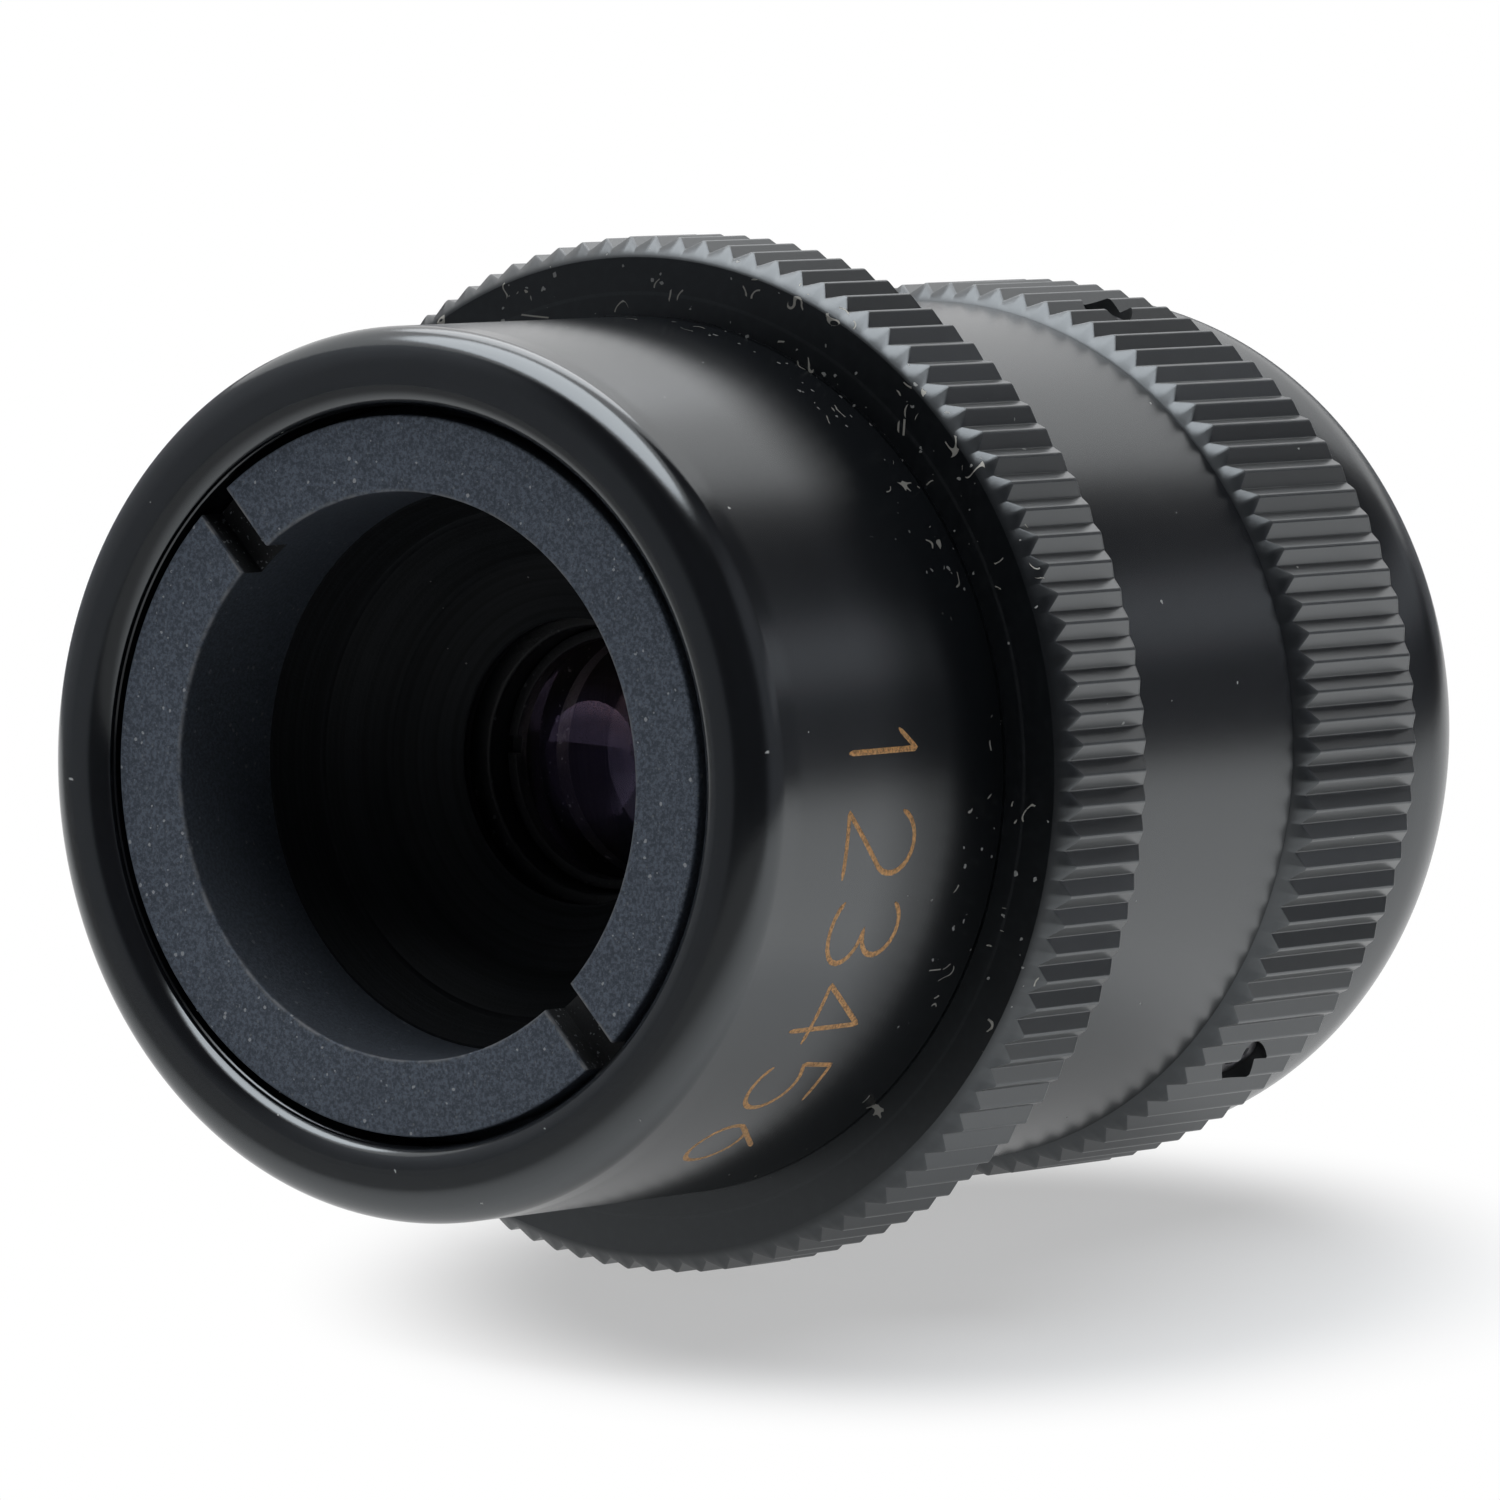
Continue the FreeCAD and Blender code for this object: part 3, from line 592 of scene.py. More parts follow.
def black_anodised(name="black_anodised", knurled=False):
    """Satin black oxide: near-black dye under a clear skin, fine blasted grain, the faint rings of
    the turning tool, a smoother rounded lip, and dust and lint that gather in the corner between
    the barrel and the lock ring. Towards that corner a dull dark layer is mixed over the skin as
    painted shade, where the lock ring darkens what the barrel mirrors. On a knurl the teeth are
    painted paler, for the light that they catch, and their crests are worn."""
    make = finish(name)
    place, _, y, z, radius = make.place()
    grain = make.noise(place, scale=9.0, detail=3.0, roughness=0.65)
    cloud = make.noise(place, scale=0.35)
    rings = make.tool_rings(radius, y, scale=6.0)
    loose = make.shaken(place, scale=5.0, reach=0.22)
    rise = radius - NOSE_RADIUS
    corner = ((rise * rise + y * y) ** 0.5).ramp(*DUST_REACH)
    lower = z.ramp(*DUST_LOWER[0]) * z.ramp(*DUST_LOWER[1])
    clump = z.ramp(*DUST_UPPER).most(lower).rising_from(DUST_LEAST)
    gathered = corner * clump * make.noise(place, scale=0.8, detail=1.0).ramp(0.38, 0.58)
    dust = make.scattered(loose, scale=1.1, share=0.30, size=0.07)
    dust = dust.most(make.scattered(loose, scale=2.3, share=0.70, size=0.10) * (gathered > 0.18))
    lint = make.fibres(place, scale=0.85, share=0.55, width=0.022) * (gathered > 0.12)
    lip = y.ramp(*LIP_FINISH)
    cover = dust.most(lint)
    colour = make.blend(cloud, SATIN, SATIN_LIGHT)
    roughness = SATIN_ROUGHNESS + grain * 0.05 + cloud * 0.03 - lip * 0.07 + cover * 0.5
    if knurled:
        patches = make.noise(place, scale=2.6, detail=3.0).ramp(0.42, 0.72)
        # painted light: the teeth are laid paler than the faces; the worn crests are real wear
        teeth = on_teeth(y, LOCK_FRONT, LOCK_REAR).most(on_teeth(y, GRIP_FRONT, GRIP_REAR))
        worn = radius.ramp(GRIP_CREST - CREST_WEAR, GRIP_CREST) * (radius < GRIP_CREST + CREST_LEEWAY)
        worn = worn.most(radius.ramp(LOCK_CREST - CREST_WEAR, LOCK_CREST))
        colour = make.layered(colour, (patches * 0.6, KNURL_CLOUD), (teeth, TOOTH_LIGHT_TONE),
                              (worn * grain * 0.35, CREST_TONE))
        roughness = roughness + radius.ramp(*ROUGHER_RADII) * 0.08
    colour = make.layered(colour, (dust, DUST), (lint, LINT))
    normal = make.bump(grain * 0.0014 + rings * 0.001 + cover * 0.02)
    skin = make.skin(colour, roughness, ior=ANODISED_IOR, specular_tint=SKIN_TINT, normal=normal)
    # painted shade: a dull dark layer mixed over the skin beside the lock ring, where the ring darkens what
    # the barrel mirrors
    corner_shade = y.ramp(*CORNER_SHADE_FRONT) * y.ramp(*CORNER_SHADE_REAR) * z.ramp(*CORNER_SHADE_HEIGHTS).rising_from(CORNER_SHADE_LEAST)
    dull = make.skin(CORNER_SHADE_TONE, 1.0, specular_ior_level=0.0)
    return make.output(make.mixed(corner_shade * CORNER_SHADE_SHARE, skin, dull))


def matt_black():
    """Bead-blasted anodised face: dark blue-grey with a coarse grain, light specks, and the slot and
    bore edges worn lighter. Behind its face the ring is painted darker as the shade inside it, and
    the slot floors darker still as painted shade, with a few bright flecks. The lens cell and its
    keeper, deep inside, are blacker and smoother."""
    make = finish("matt_black")
    place, x, y, z, radius = make.place()
    grain = make.noise(place, scale=8.0, detail=4.0, roughness=0.7)
    patches = make.noise(place, scale=1.2, detail=3.0)
    flecks = make.noise(place, scale=6.0)
    specks = make.scattered(make.shaken(place, scale=9.0, reach=0.08), scale=3.4, share=0.26, size=0.08)
    fine_specks = make.scattered(place, scale=7.0, share=0.22, size=0.05)
    turn = math.radians(SLOT_ANGLE)
    across = abs(x * math.cos(turn) - z * math.sin(turn))
    side = SLOT_WIDTH / 2
    bore = LAND_RADIUS - RING_WALL
    on_face = y.ramp(RING_FACE + 0.25, RING_FACE + TOUCH) * (y > RING_FACE - 0.1)
    slot_edge = across.ramp(side + 0.12, side) * (across > side - 0.03)
    bore_edge = radius.ramp(bore + 0.16, bore + TOUCH)
    worn = (slot_edge * 0.9).most(bore_edge * 0.55) * on_face * patches.ramp(0.38, 0.58)
    # painted shade on the slot floors; the bright flecks are marks in them
    in_slot = (across < side + TOUCH) * y.ramp(RING_FACE + 0.05, RING_FACE + 0.3)
    in_slot = in_slot * (y < RING_FACE + SLOT_DEPTH + TOUCH)
    # painted shade: behind its face the ring is laid darker, as the shade in its bore
    inside = y.ramp(RING_FACE + 0.05, RING_FACE + 0.2) * (y < 0)
    outside = 1.0 - inside * 0.8
    deep = y.ramp(CELL_FRONT - 0.6, CELL_FRONT - 0.1)
    colour = make.layered(
        make.blend(grain.ramp(0.36, 0.66), *RING_TONES),
        (inside * 0.6, RING_BORE_SHADE_TONE),
        (deep * 0.9, CELL_TONE),
        (in_slot, SLOT_SHADE_TONE),
        (in_slot * (flecks > 0.66), SLOT_FLECK_TONE),
        (fine_specks * outside * 0.6, FINE_SPECK_TONE),
        (specks * outside * 0.85, SPECK_TONE),
        (worn, RING_WORN_TONE),
    )
    normal = make.bump(grain * 0.03 + specks * 0.02)
    return make.output(make.skin(colour, 0.55 + grain * 0.15 - deep * 0.22, ior=1.5, normal=normal))


def baffle_black():
    """Flat black of the light baffles, with faint tool rings and a few pale specks."""
    make = finish("baffle_black")
    place, _, y, _, radius = make.place()
    rings = make.tool_rings(radius, y, scale=5.0)
    grain = make.noise(place, scale=10.0)
    specks = make.scattered(place, scale=2.0, share=0.12, size=0.05)
    colour = make.blend(rings.ramp(0.35, 0.65), *BAFFLE_TONES)
    colour = make.blend(specks, colour, BAFFLE_SPECK_TONE)
    normal = make.bump(rings * 0.02 + grain * 0.01)
    return make.output(make.skin(colour, 0.52 + grain * 0.12, ior=1.45, specular_ior_level=0.28,
                                 specular_tint=SKIN_TINT, normal=normal))


def plain_metal(name, colour, darker, roughness):
    """Turned metal with fine rings and a slightly uneven tone."""
    make = finish(name)
    place, _, y, _, radius = make.place()
    rings = make.tool_rings(radius, y, scale=8.0, detail=3.0)
    tone = make.blend(make.noise(place, scale=2.0, detail=3.0), colour, darker)
    normal = make.bump(rings * 0.01)
    return make.output(make.skin(tone, roughness + rings * 0.12, metallic=1.0, normal=normal))


def coated_glass():
    """Optical glass with an antireflection coating. What it still mirrors is violet low down and
    goes to a dull red and brown towards the top, so two glasses are mixed by height."""
    make = finish("coated_glass")
    _, x, _, z, _ = make.place()
    height = (z + x * COATING_LEAN).ramp(*COATING_HEIGHTS)
    low, high = [make.skin(GLASS_BODY, 0.0, ior=GLASS_IOR, transmission_weight=1.0, specular_tint=tint)
                 for tint in COATING_TINTS]
    return make.output(make.mixed(height, low, high))


def gold_paint():
    """Dull gold filling of the engraved numbers, thin and dark in places."""
    make = finish("gold_paint")
    place = make.place()[0]
    grain = make.noise(place, scale=9.0, detail=4.0, roughness=0.7)
    tone = make.noise(place, scale=2.6)
    colour = make.blend(grain.ramp(0.35, 0.62), *GOLD_TONES)
    colour = make.blend(tone.ramp(0.45, 0.75) * 0.5, colour, GOLD_WORN_TONE)
    return make.output(make.skin(colour, 0.5, metallic=0.25, normal=make.bump(grain * 0.02)))


MATERIALS = {
    "black_anodised": black_anodised(),
    "matt_black": matt_black(),
    "baffle_black": baffle_black(),
    "dark_steel": plain_metal("dark_steel", (0.10, 0.10, 0.11), (0.04, 0.04, 0.045), roughness=0.30),
    "brass": plain_metal("brass", (0.72, 0.50, 0.20), (0.52, 0.35, 0.13), roughness=0.22),
    "coated_glass": coated_glass(),
}
KNURL_FINISH = black_anodised("black_anodised_knurl", knurled=True)
GOLD = gold_paint()


# ================================================================ nosepiece, ring and baffle
def nose_tube():
    """Push-fit barrel with its thick rounded lip, the recess for the slotted ring, the throat that
    the baffle seats on, and the skirt at the rear."""
    skirt = NOSE_RADIUS - NOSE_SKIRT_WALL
    throat = NOSE_MOUTH_RADIUS - NOSE_THROAT_STEP
    baffle_seat = RING_REAR + BAFFLE_FLANGE
    mouth = NOSE_MOUTH_RADIUS + MOUTH_LEDGE
    edge = LIP + LIP_INNER_DROP
    turned_ring("nose_tube", "barrel", "black_anodised", "nosepiece_barrel", [
        (NOSE_MOUTH_RADIUS, edge + MOUTH_LEDGE_DEPTH + MOUTH_LEDGE),
        (mouth, edge + MOUTH_LEDGE_DEPTH),
        (mouth, edge),
        (mouth + LIP_INNER_DROP / math.tan(math.radians(LIP_INNER_SLOPE)), LIP, *LIP_INNER_ROUNDING),
        (NOSE_RADIUS, LIP, *LIP_OUTER_ROUNDING),
        (NOSE_RADIUS, (LIP + SHOULDER) / 2),
        (NOSE_RADIUS, SHOULDER, FINE_EDGE),
        (skirt, SHOULDER, FINE_EDGE),
        (skirt, -SPIGOT_LENGTH),
        (throat, -SPIGOT_LENGTH),
        (throat, baffle_seat),
        (NOSE_MOUTH_RADIUS, baffle_seat),
    ])


def slotted_ring():
    """Retaining ring with a plain front collar, the threaded land behind it and a pair of slots."""
    bore = LAND_RADIUS - RING_WALL
    collar = LAND_RADIUS + THREAD - RING_COLLAR_STEP
    collar_rear = RING_FACE + RING_COLLAR_LENGTH
    ring = turned_ring("slotted_ring", "barrel", "matt_black", "front_retaining_ring", [
        (bore, RING_FACE, RING_EDGE),
        (collar, RING_FACE, RING_EDGE),
        (collar, collar_rear),
        (LAND_RADIUS, collar_rear + LAND_RADIUS - collar),
        (LAND_RADIUS, RING_REAR),
        (bore, RING_REAR),
    ])
    cut_slot(ring, LAND_RADIUS, SLOT_WIDTH, RING_FACE - CLEAR, RING_FACE + SLOT_DEPTH, SLOT_ANGLE)


def baffle_steps():
    """Three conical stages, each starting a ridge's height inside the end of the one before."""
    seat = RING_REAR + BAFFLE_FLANGE
    radius = LAND_RADIUS - RING_WALL - BAFFLE_LIP
    station = RING_REAR
    inner = []
    outer = [(BAFFLE_SEAT_RADIUS, RING_REAR), (BAFFLE_SEAT_RADIUS, seat)]
    for narrowing, length in BAFFLE_STAGES:
        inner.append((radius, station))
        outer.append((radius + BAFFLE_WALL, max(seat, station + BAFFLE_WALL)))
        inner.append((radius - narrowing, station + length, *BAFFLE_ROUNDING))
        radius -= narrowing + BAFFLE_RIDGE
        station += length
    neck = inner[-1][0] - BAFFLE_LIP
    inner += [(neck, station), (neck, BAFFLE_REAR)]
    outer.append((neck + BAFFLE_WALL, BAFFLE_REAR))
    turned_ring("baffle_steps", "barrel", "baffle_black", "baffle_cone", inner + outer[::-1])


# ================================================================ knurled rings
def tooth_columns(teeth, crest, phase):
    """Angle and depth of every column round a straight V knurl. One tooth is a flat crest, two
    straight flanks and a valley. With u from -1 to 1 over a rounding's reach, the depth is slope x
    reach x (u + 1) squared / 4 at a crest's corner, and in the valley the full depth less slope x
    reach x (1 + u squared) / 2."""
    half = TURN / teeth / 2
    flat = TOOTH_CREST / crest / 2
    reach = TOOTH_ROUNDING / crest
    slope = TOOTH_DEPTH / (half - flat)
    corner = np.array([-1.0, -0.35, 0.35, 1.0])
    corner_depth = slope * reach * (corner + 1) ** 2 / 4
    valley = np.array([-1.0, -0.4, 0.0, 0.4, 1.0])
    valley_depth = TOOTH_DEPTH - slope * reach * (1 + valley**2) / 2
    rising = flat + reach * corner
    offsets = np.concatenate([[0.0], rising, half + reach * valley, (2 * half - rising)[::-1]])
    depths = np.concatenate([[0.0], corner_depth, valley_depth, corner_depth[::-1]])
    start = math.radians(phase) + even_angles(teeth)[:, None]
    return (start + offsets).ravel(), np.tile(depths, teeth)


def knurled_ring(name, body, node, crest, wall, phase, front, rear):
    """A knurled ring. Every column runs from the bore over the front face, up the 45 degree chamfer
    to where it meets that column's own tooth height, along the tooth and down the rear chamfer, so
    the zigzag edge between chamfer and teeth is exact."""
    angle, depth = tooth_columns(round(TURN * crest / TOOTH_PITCH), crest, phase)
    bore = crest - wall
    top = crest - depth
    foot = crest - KNURL_CHAMFER
    front_edge = front + KNURL_CHAMFER - depth
    rear_edge = rear - KNURL_CHAMFER + depth
    soft = FINE_EDGE
    rows = [
        (bore, front + soft), (bore + soft, front),
        ((bore + foot) / 2, front),
        (foot - soft, front), (foot + soft, front + soft),
        (top - soft, front_edge - soft), (top, front_edge + soft),
        (top, (front_edge + rear_edge) / 2),
        (top, rear_edge - soft), (top - soft, rear_edge + soft),
        (foot + soft, rear - soft), (foot - soft, rear),
        (bore + soft, rear), (bore, rear - soft),
    ]
    points = np.concatenate([turned(radius, angle, station) for radius, station in rows])
    faces = outward(points, grid_faces(len(rows), len(angle), True, True))
    return piece(name, points, faces, body, "black_anodised", node, KNURL_FINISH, KNURL_SHARP_ANGLE)


def lock_ring_knurled():
    """Large knurled ring."""
    knurled_ring("lock_ring_knurled", "lock", "lock_ring", LOCK_CREST, LOCK_WALL, LOCK_PHASE,
                 LOCK_FRONT, LOCK_REAR)


def grip_ring_knurled():
    """Second knurled ring, with three radial holes for the grub screws: each cutter is a straight
    round pin."""
    ring = knurled_ring("grip_ring_knurled", "focus", "focus_grip_ring", GRIP_CREST, GRIP_WALL, GRIP_PHASE,
                        GRIP_FRONT, GRIP_REAR)
    middle = (GRIP_FRONT + GRIP_REAR) / 2
    inner, outer = GRIP_CREST - GRIP_WALL - CLEAR, GRIP_CREST + CLEAR
    pin = rings_up([(GRUB_RADIUS, inner), (GRUB_RADIUS, outer)], middle, even_angles(PIN_SIDES))
    hole = capped(pin, [(0, middle, inner), (0, middle, outer)])
    cut(ring, around(hole, GRUB_COUNT, GRUB_ANGLE), KNURL_SHARP_ANGLE)


def grub_screw_set():
    """Three socket screws at the bottom of their holes. Each is rings of points whose profile runs
    from the foot up the bevelled side, over the top, down into the hexagon socket and back along a
    hair-thin bore. The hexagon's radius is half its width over the cosine of the angle from the
    middle of a flat."""
    foot = BAND_RADIUS - SLEEVE_SEAT_STEP - GRUB_DIMPLE
    head = foot + GRUB_LENGTH
    middle = (GRIP_FRONT + GRIP_REAR) / 2
    angle = even_angles(PIN_SIDES)
    sixth = TURN / 6
    socket = GRUB_SOCKET / 2 / np.cos((angle + sixth / 2) % sixth - sixth / 2)
    side = GRUB_RADIUS - THREAD
    point, cone = GRUB_POINT
    levels = [
        (GRUB_AXIS_BORE, foot), (point, foot), (side, foot + cone),
        (side, head - GRUB_BEVEL), (side - GRUB_BEVEL, head),
        (socket + GRUB_SOCKET_BEVEL, head), (socket, head - GRUB_SOCKET_BEVEL),
        (socket * GRUB_SOCKET_TAPER, head - GRUB_SOCKET_DEPTH),
        (GRUB_AXIS_BORE, head - GRUB_SOCKET_DEPTH - GRUB_DRILL_POINT),
    ]
    one = rings_up(levels, middle, angle).reshape(-1, 3)
    walls = grid_faces(len(levels), PIN_SIDES, True, True)
    points, faces = join(around((one, walls), GRUB_COUNT, GRUB_ANGLE))
    piece("grub_screw_set", points, outward(points, faces), "focus", "dark_steel", "grub_screws")


# ================================================================ focusing sleeve and shoulder
def focus_range():
    """Travel of the carriage in millimetres and turn of the sleeve in radians."""
    joints = {joint["name"]: joint for joint in frame["record"]["behaviour"]["joints"]}
    travel = joints["focus_travel"]["range_m"][1] / MM
    return travel, math.radians(joints["focus_turn"]["range_deg"][1])


def cam_groove(bore):
    """Cutter for one cam groove, a bar of four sides. Its centre line climbs by the carriage's
    travel while it goes round by the sleeve's turn, and its half width is the height of a half
    circle over each end."""
    travel, turn = focus_range()
    floor = bore + GROOVE_DEPTH
    length = math.hypot(turn * floor, travel)
    lean = math.atan2(travel, turn * floor)
    degrees, points_in_end = GROOVE_END
    swing = GROOVE_HALF_WIDTH * np.sin(np.radians(np.linspace(degrees, 0, points_in_end)))
    straight = np.linspace(0, length, GROOVE_POINTS)[1:-1]
    along = np.concatenate([-swing, straight, length + swing[::-1]])[:, None]
    past = np.maximum(0, np.maximum(-along, along - length))
    half = np.sqrt(GROOVE_HALF_WIDTH**2 - past**2) * np.array([-1, 1, 1, -1])
    angle = (along * math.cos(lean) - half * math.sin(lean)) / floor
    station = along * math.sin(lean) + half * math.cos(lean) + BAND_FRONT + GUIDE_FROM_BAND
    points = turned(np.array([bore - CLEAR, bore - CLEAR, floor, floor]), angle, station)
    walls = grid_faces(len(along), 4, False, True)
    ends = np.array([[3, 2, 1, 0], [0, 1, 2, 3]])
    ends[1] += len(points) - 4
    return points, outward(points, np.concatenate([walls, ends]))


def focus_band():
    """Smooth satin band between the knurled rings, with the seat for the grip ring behind it and
    the cam grooves in its bore."""
    bore = BAND_RADIUS - SLEEVE_WALL
    seat = BAND_RADIUS - SLEEVE_SEAT_STEP
    rear_bore = seat - SLEEVE_REAR_WALL
    band = turned_ring("focus_band", "focus", "black_anodised", "focus_sleeve", [
        (bore, BAND_FRONT, FINE_EDGE),
        (BAND_RADIUS, BAND_FRONT, BAND_EDGE),
        (BAND_RADIUS, (BAND_FRONT + GRIP_FRONT) / 2),
        (BAND_RADIUS, GRIP_FRONT, FINE_EDGE),
        (seat, GRIP_FRONT),
        (seat, SLEEVE_REAR, FINE_EDGE),
        (rear_bore, SLEEVE_REAR, FINE_EDGE),
        (rear_bore, GRIP_FRONT + SLEEVE_SHOULDER),
        (bore, GRIP_FRONT + SLEEVE_SHOULDER),
    ])
    cut(band, around(cam_groove(bore), GUIDE_COUNT, GUIDE_ANGLE))


def rounded_shoulder():
    """Eye cap: a smooth shoulder that rounds over to the eye opening."""
    bore = CARRIAGE_RADIUS + CAP_BORE_GAP
    opening = bore - CAP_LEDGE
    spigot = BAND_RADIUS - SLEEVE_SEAT_STEP - SLEEVE_REAR_WALL - THREAD
    turned_ring("rounded_shoulder", "focus", "black_anodised", "eye_cap", [
        (bore, CAP_SPIGOT_FRONT),
        (spigot, CAP_SPIGOT_FRONT),
        (spigot, GRIP_REAR),
        (CAP_RADIUS, GRIP_REAR, FINE_EDGE),
        (CAP_RADIUS, CAP_REAR, *CAP_ROUNDING),
        (opening, CAP_REAR, *CAP_OPENING_ROUNDING),
        (opening, CAP_REAR - CAP_END_WALL),
        (bore, CAP_REAR - CAP_END_WALL),
    ])


# ================================================================ cells, keepers and glass
def front_cell_rim():
    """Front lens cell, whose thin rim shows at the bottom of the baffle."""
    ledge = CELL_BORE - CELL_SEAT_HEIGHT
    snout = CELL_BORE + CELL_SNOUT_WALL
    body = CELL_BORE + CELL_BODY_WALL
    flange_front = CELL_FRONT + CELL_SNOUT_LENGTH
    turned_ring("front_cell_rim", "carriage", "matt_black", "front_lens_cell", [
        (CELL_BORE, CELL_FRONT, *CELL_BORE_ROUNDING),
        (snout, CELL_FRONT, *CELL_SNOUT_ROUNDING),
        (snout, flange_front),
        (CELL_FLANGE_RADIUS, flange_front),
        (CELL_FLANGE_RADIUS, flange_front + CELL_FLANGE_LENGTH),
        (body, flange_front + CELL_FLANGE_LENGTH),
        (body, CELL_REAR),
        (ledge, CELL_REAR),
        (ledge, CELL_REAR - CELL_SEAT_LENGTH),
        (CELL_BORE, CELL_REAR - CELL_SEAT_LENGTH),
    ])


def front_keeper_ring():
    """Thin notched ring that holds the front lens."""
    bore = FRONT_KEEPER_RADIUS - FRONT_KEEPER_WALL
    ring = turned_ring("front_keeper_ring", "carriage", "matt_black", "front_lens_keeper", [
        (bore, FRONT_KEEPER_FRONT, *FRONT_KEEPER_ROUNDING),
        (FRONT_KEEPER_RADIUS, FRONT_KEEPER_FRONT, *FRONT_KEEPER_ROUNDING),
        (FRONT_KEEPER_RADIUS, FRONT_KEEPER_REAR),
        (bore, FRONT_KEEPER_REAR),
    ])
    width, depth = FRONT_KEEPER_SLOT
    cut_slot(ring, FRONT_KEEPER_RADIUS, width, FRONT_KEEPER_FRONT - CLEAR, FRONT_KEEPER_FRONT + depth,
             KEEPER_SLOT_ANGLE)


def eye_keeper_ring():
    """Notched ring that holds the eye group."""
    bore = EYE_KEEPER_RADIUS - EYE_KEEPER_WALL
    ring = turned_ring("eye_keeper_ring", "carriage", "matt_black", "eye_lens_keeper", [
        (bore, EYE_KEEPER_FRONT),
        (EYE_KEEPER_RADIUS, EYE_KEEPER_FRONT),
        (EYE_KEEPER_RADIUS, EYE_KEEPER_REAR, FINE_EDGE),
        (bore, EYE_KEEPER_REAR, FINE_EDGE),
    ])
    width, depth = EYE_KEEPER_SLOT
    cut_slot(ring, EYE_KEEPER_RADIUS, width, EYE_KEEPER_REAR - depth, EYE_KEEPER_REAR + CLEAR,
             KEEPER_SLOT_ANGLE)


def sag(radius, height):
    """Axial distance from a sphere's vertex to its surface at a height off the axis."""
    return math.copysign(1, radius) * (abs(radius) - np.sqrt(radius * radius - height * height))


def glass_disc(name, vertex, glass, half, node):
    """Lens turned from two arcs of circles: each surface point at height h stands sag(R, h) behind
    its vertex. Each pole is one point that closes a fan of triangles."""
    front_radius, rear_radius, least = glass
    rear_vertex = vertex + least + max(0.0, float(sag(front_radius, half) - sag(rear_radius, half)))
    heights = np.linspace(0, 1, GLASS_RINGS + 1)[1:] ** GLASS_SPREAD * half
    front = vertex + sag(front_radius, heights)
    rear = rear_vertex + sag(rear_radius, heights)
    radius = np.concatenate([heights, heights[::-1]])[:, None]
    station = np.concatenate([front, rear[::-1]])[:, None]
    shell = turned(radius, even_angles(SEGMENTS), station).reshape(-1, SEGMENTS, 3)
    points, faces = capped(shell, [(0, vertex, 0), (0, rear_vertex, 0)])
    piece(name, points, faces, "carriage", "coated_glass", node)


# ================================================================ engraved numbers
NUMBER_HEIGHT = 4.1
NUMBER_WIDTH = 2.5
NUMBER_BASE = -9.45                 # station of the feet of the numbers
NUMBER_STROKE = 0.21
NUMBER_SIDES = 8                    # sides of a stroke's section
NUMBER_SPACING = 0.12               # of the points along a stroke
NUMBER_TIP = 0.35                   # width of a stroke's end as a share of the whole
NUMBER_TIP_RISE = 2.2 / 6           # what that share gains at each point, up to 1
NUMBER_FIRST_ANGLE = 77.0
NUMBER_STEP_ANGLE = 11.8
NUMBER_PROUD = 0.012                # paint stands this far above the barrel
NUMBER_SUNK = 0.03
NUMBERS = "123456"


def bend(centre, size, start, end, steps=14):
    """Points on an ellipse from one angle to another, in degrees."""
    angle = np.radians(np.linspace(start, end, steps))
    return np.stack([centre[0] + size[0] * np.cos(angle), centre[1] + size[1] * np.sin(angle)], -1)


def stroke(figure):
    """Pen stroke of a number in a box one unit wide and one unit high: straight runs and arcs."""
    return np.concatenate({
        "1": [[(0.22, 0.76), (0.52, 1.0), (0.52, 0.0)]],
        "2": [bend((0.5, 0.70), (0.46, 0.30), 160, -38), [(0.04, 0.0), (1.0, 0.0)]],
        "3": [bend((0.46, 0.75), (0.42, 0.25), 150, -90), bend((0.46, 0.25), (0.50, 0.25), 90, -150)],
        "4": [[(0.74, 0.0), (0.74, 1.0), (0.0, 0.30), (1.0, 0.30)]],
        "5": [[(0.90, 1.0), (0.18, 1.0), (0.10, 0.56)], bend((0.46, 0.32), (0.48, 0.32), 118, -140, 20)],
        "6": [[(0.72, 1.0)], bend((0.50, 0.32), (0.45, 0.32), 160, 500, 26)],
    }[figure])


def resample(path, spacing):
    """Evenly spaced points along a path, with its ends kept."""
    length = np.concatenate([[0], np.cumsum(np.linalg.norm(np.diff(path, axis=0), axis=1))])
    count = max(2, int(length[-1] / spacing) + 1)
    along = np.linspace(0, length[-1], count)
    return np.stack([np.interp(along, length, path[:, k]) for k in range(2)], -1)


def stroke_solid(path):
    """Thin rounded bar along a path on the unrolled barrel: an oval section, carried square to the
    path and tapered at both ends, then rolled back on to the cylinder."""
    along = np.gradient(path, axis=0)
    along /= np.linalg.norm(along, axis=1)[:, None]
    side = np.stack([-along[:, 1], along[:, 0]], -1)
    turn = even_angles(NUMBER_SIDES)
    from_start = np.arange(len(path))
    from_end = np.minimum(from_start, from_start[::-1])
    taper = np.minimum(1, NUMBER_TIP + NUMBER_TIP_RISE * from_end)
    across = NUMBER_STROKE / 2 * taper[:, None] * np.cos(turn)
    flat = path[:, None, :] + across[..., None] * side[:, None, :]
    radius = NOSE_RADIUS + np.where(np.sin(turn) > 0, NUMBER_PROUD, NUMBER_SUNK) * np.sin(turn)
    rings = turned(radius, flat[..., 0] / NOSE_RADIUS, flat[..., 1]).reshape(*flat.shape[:2], 3)
    return capped(rings, rings[[0, -1]].mean(1))


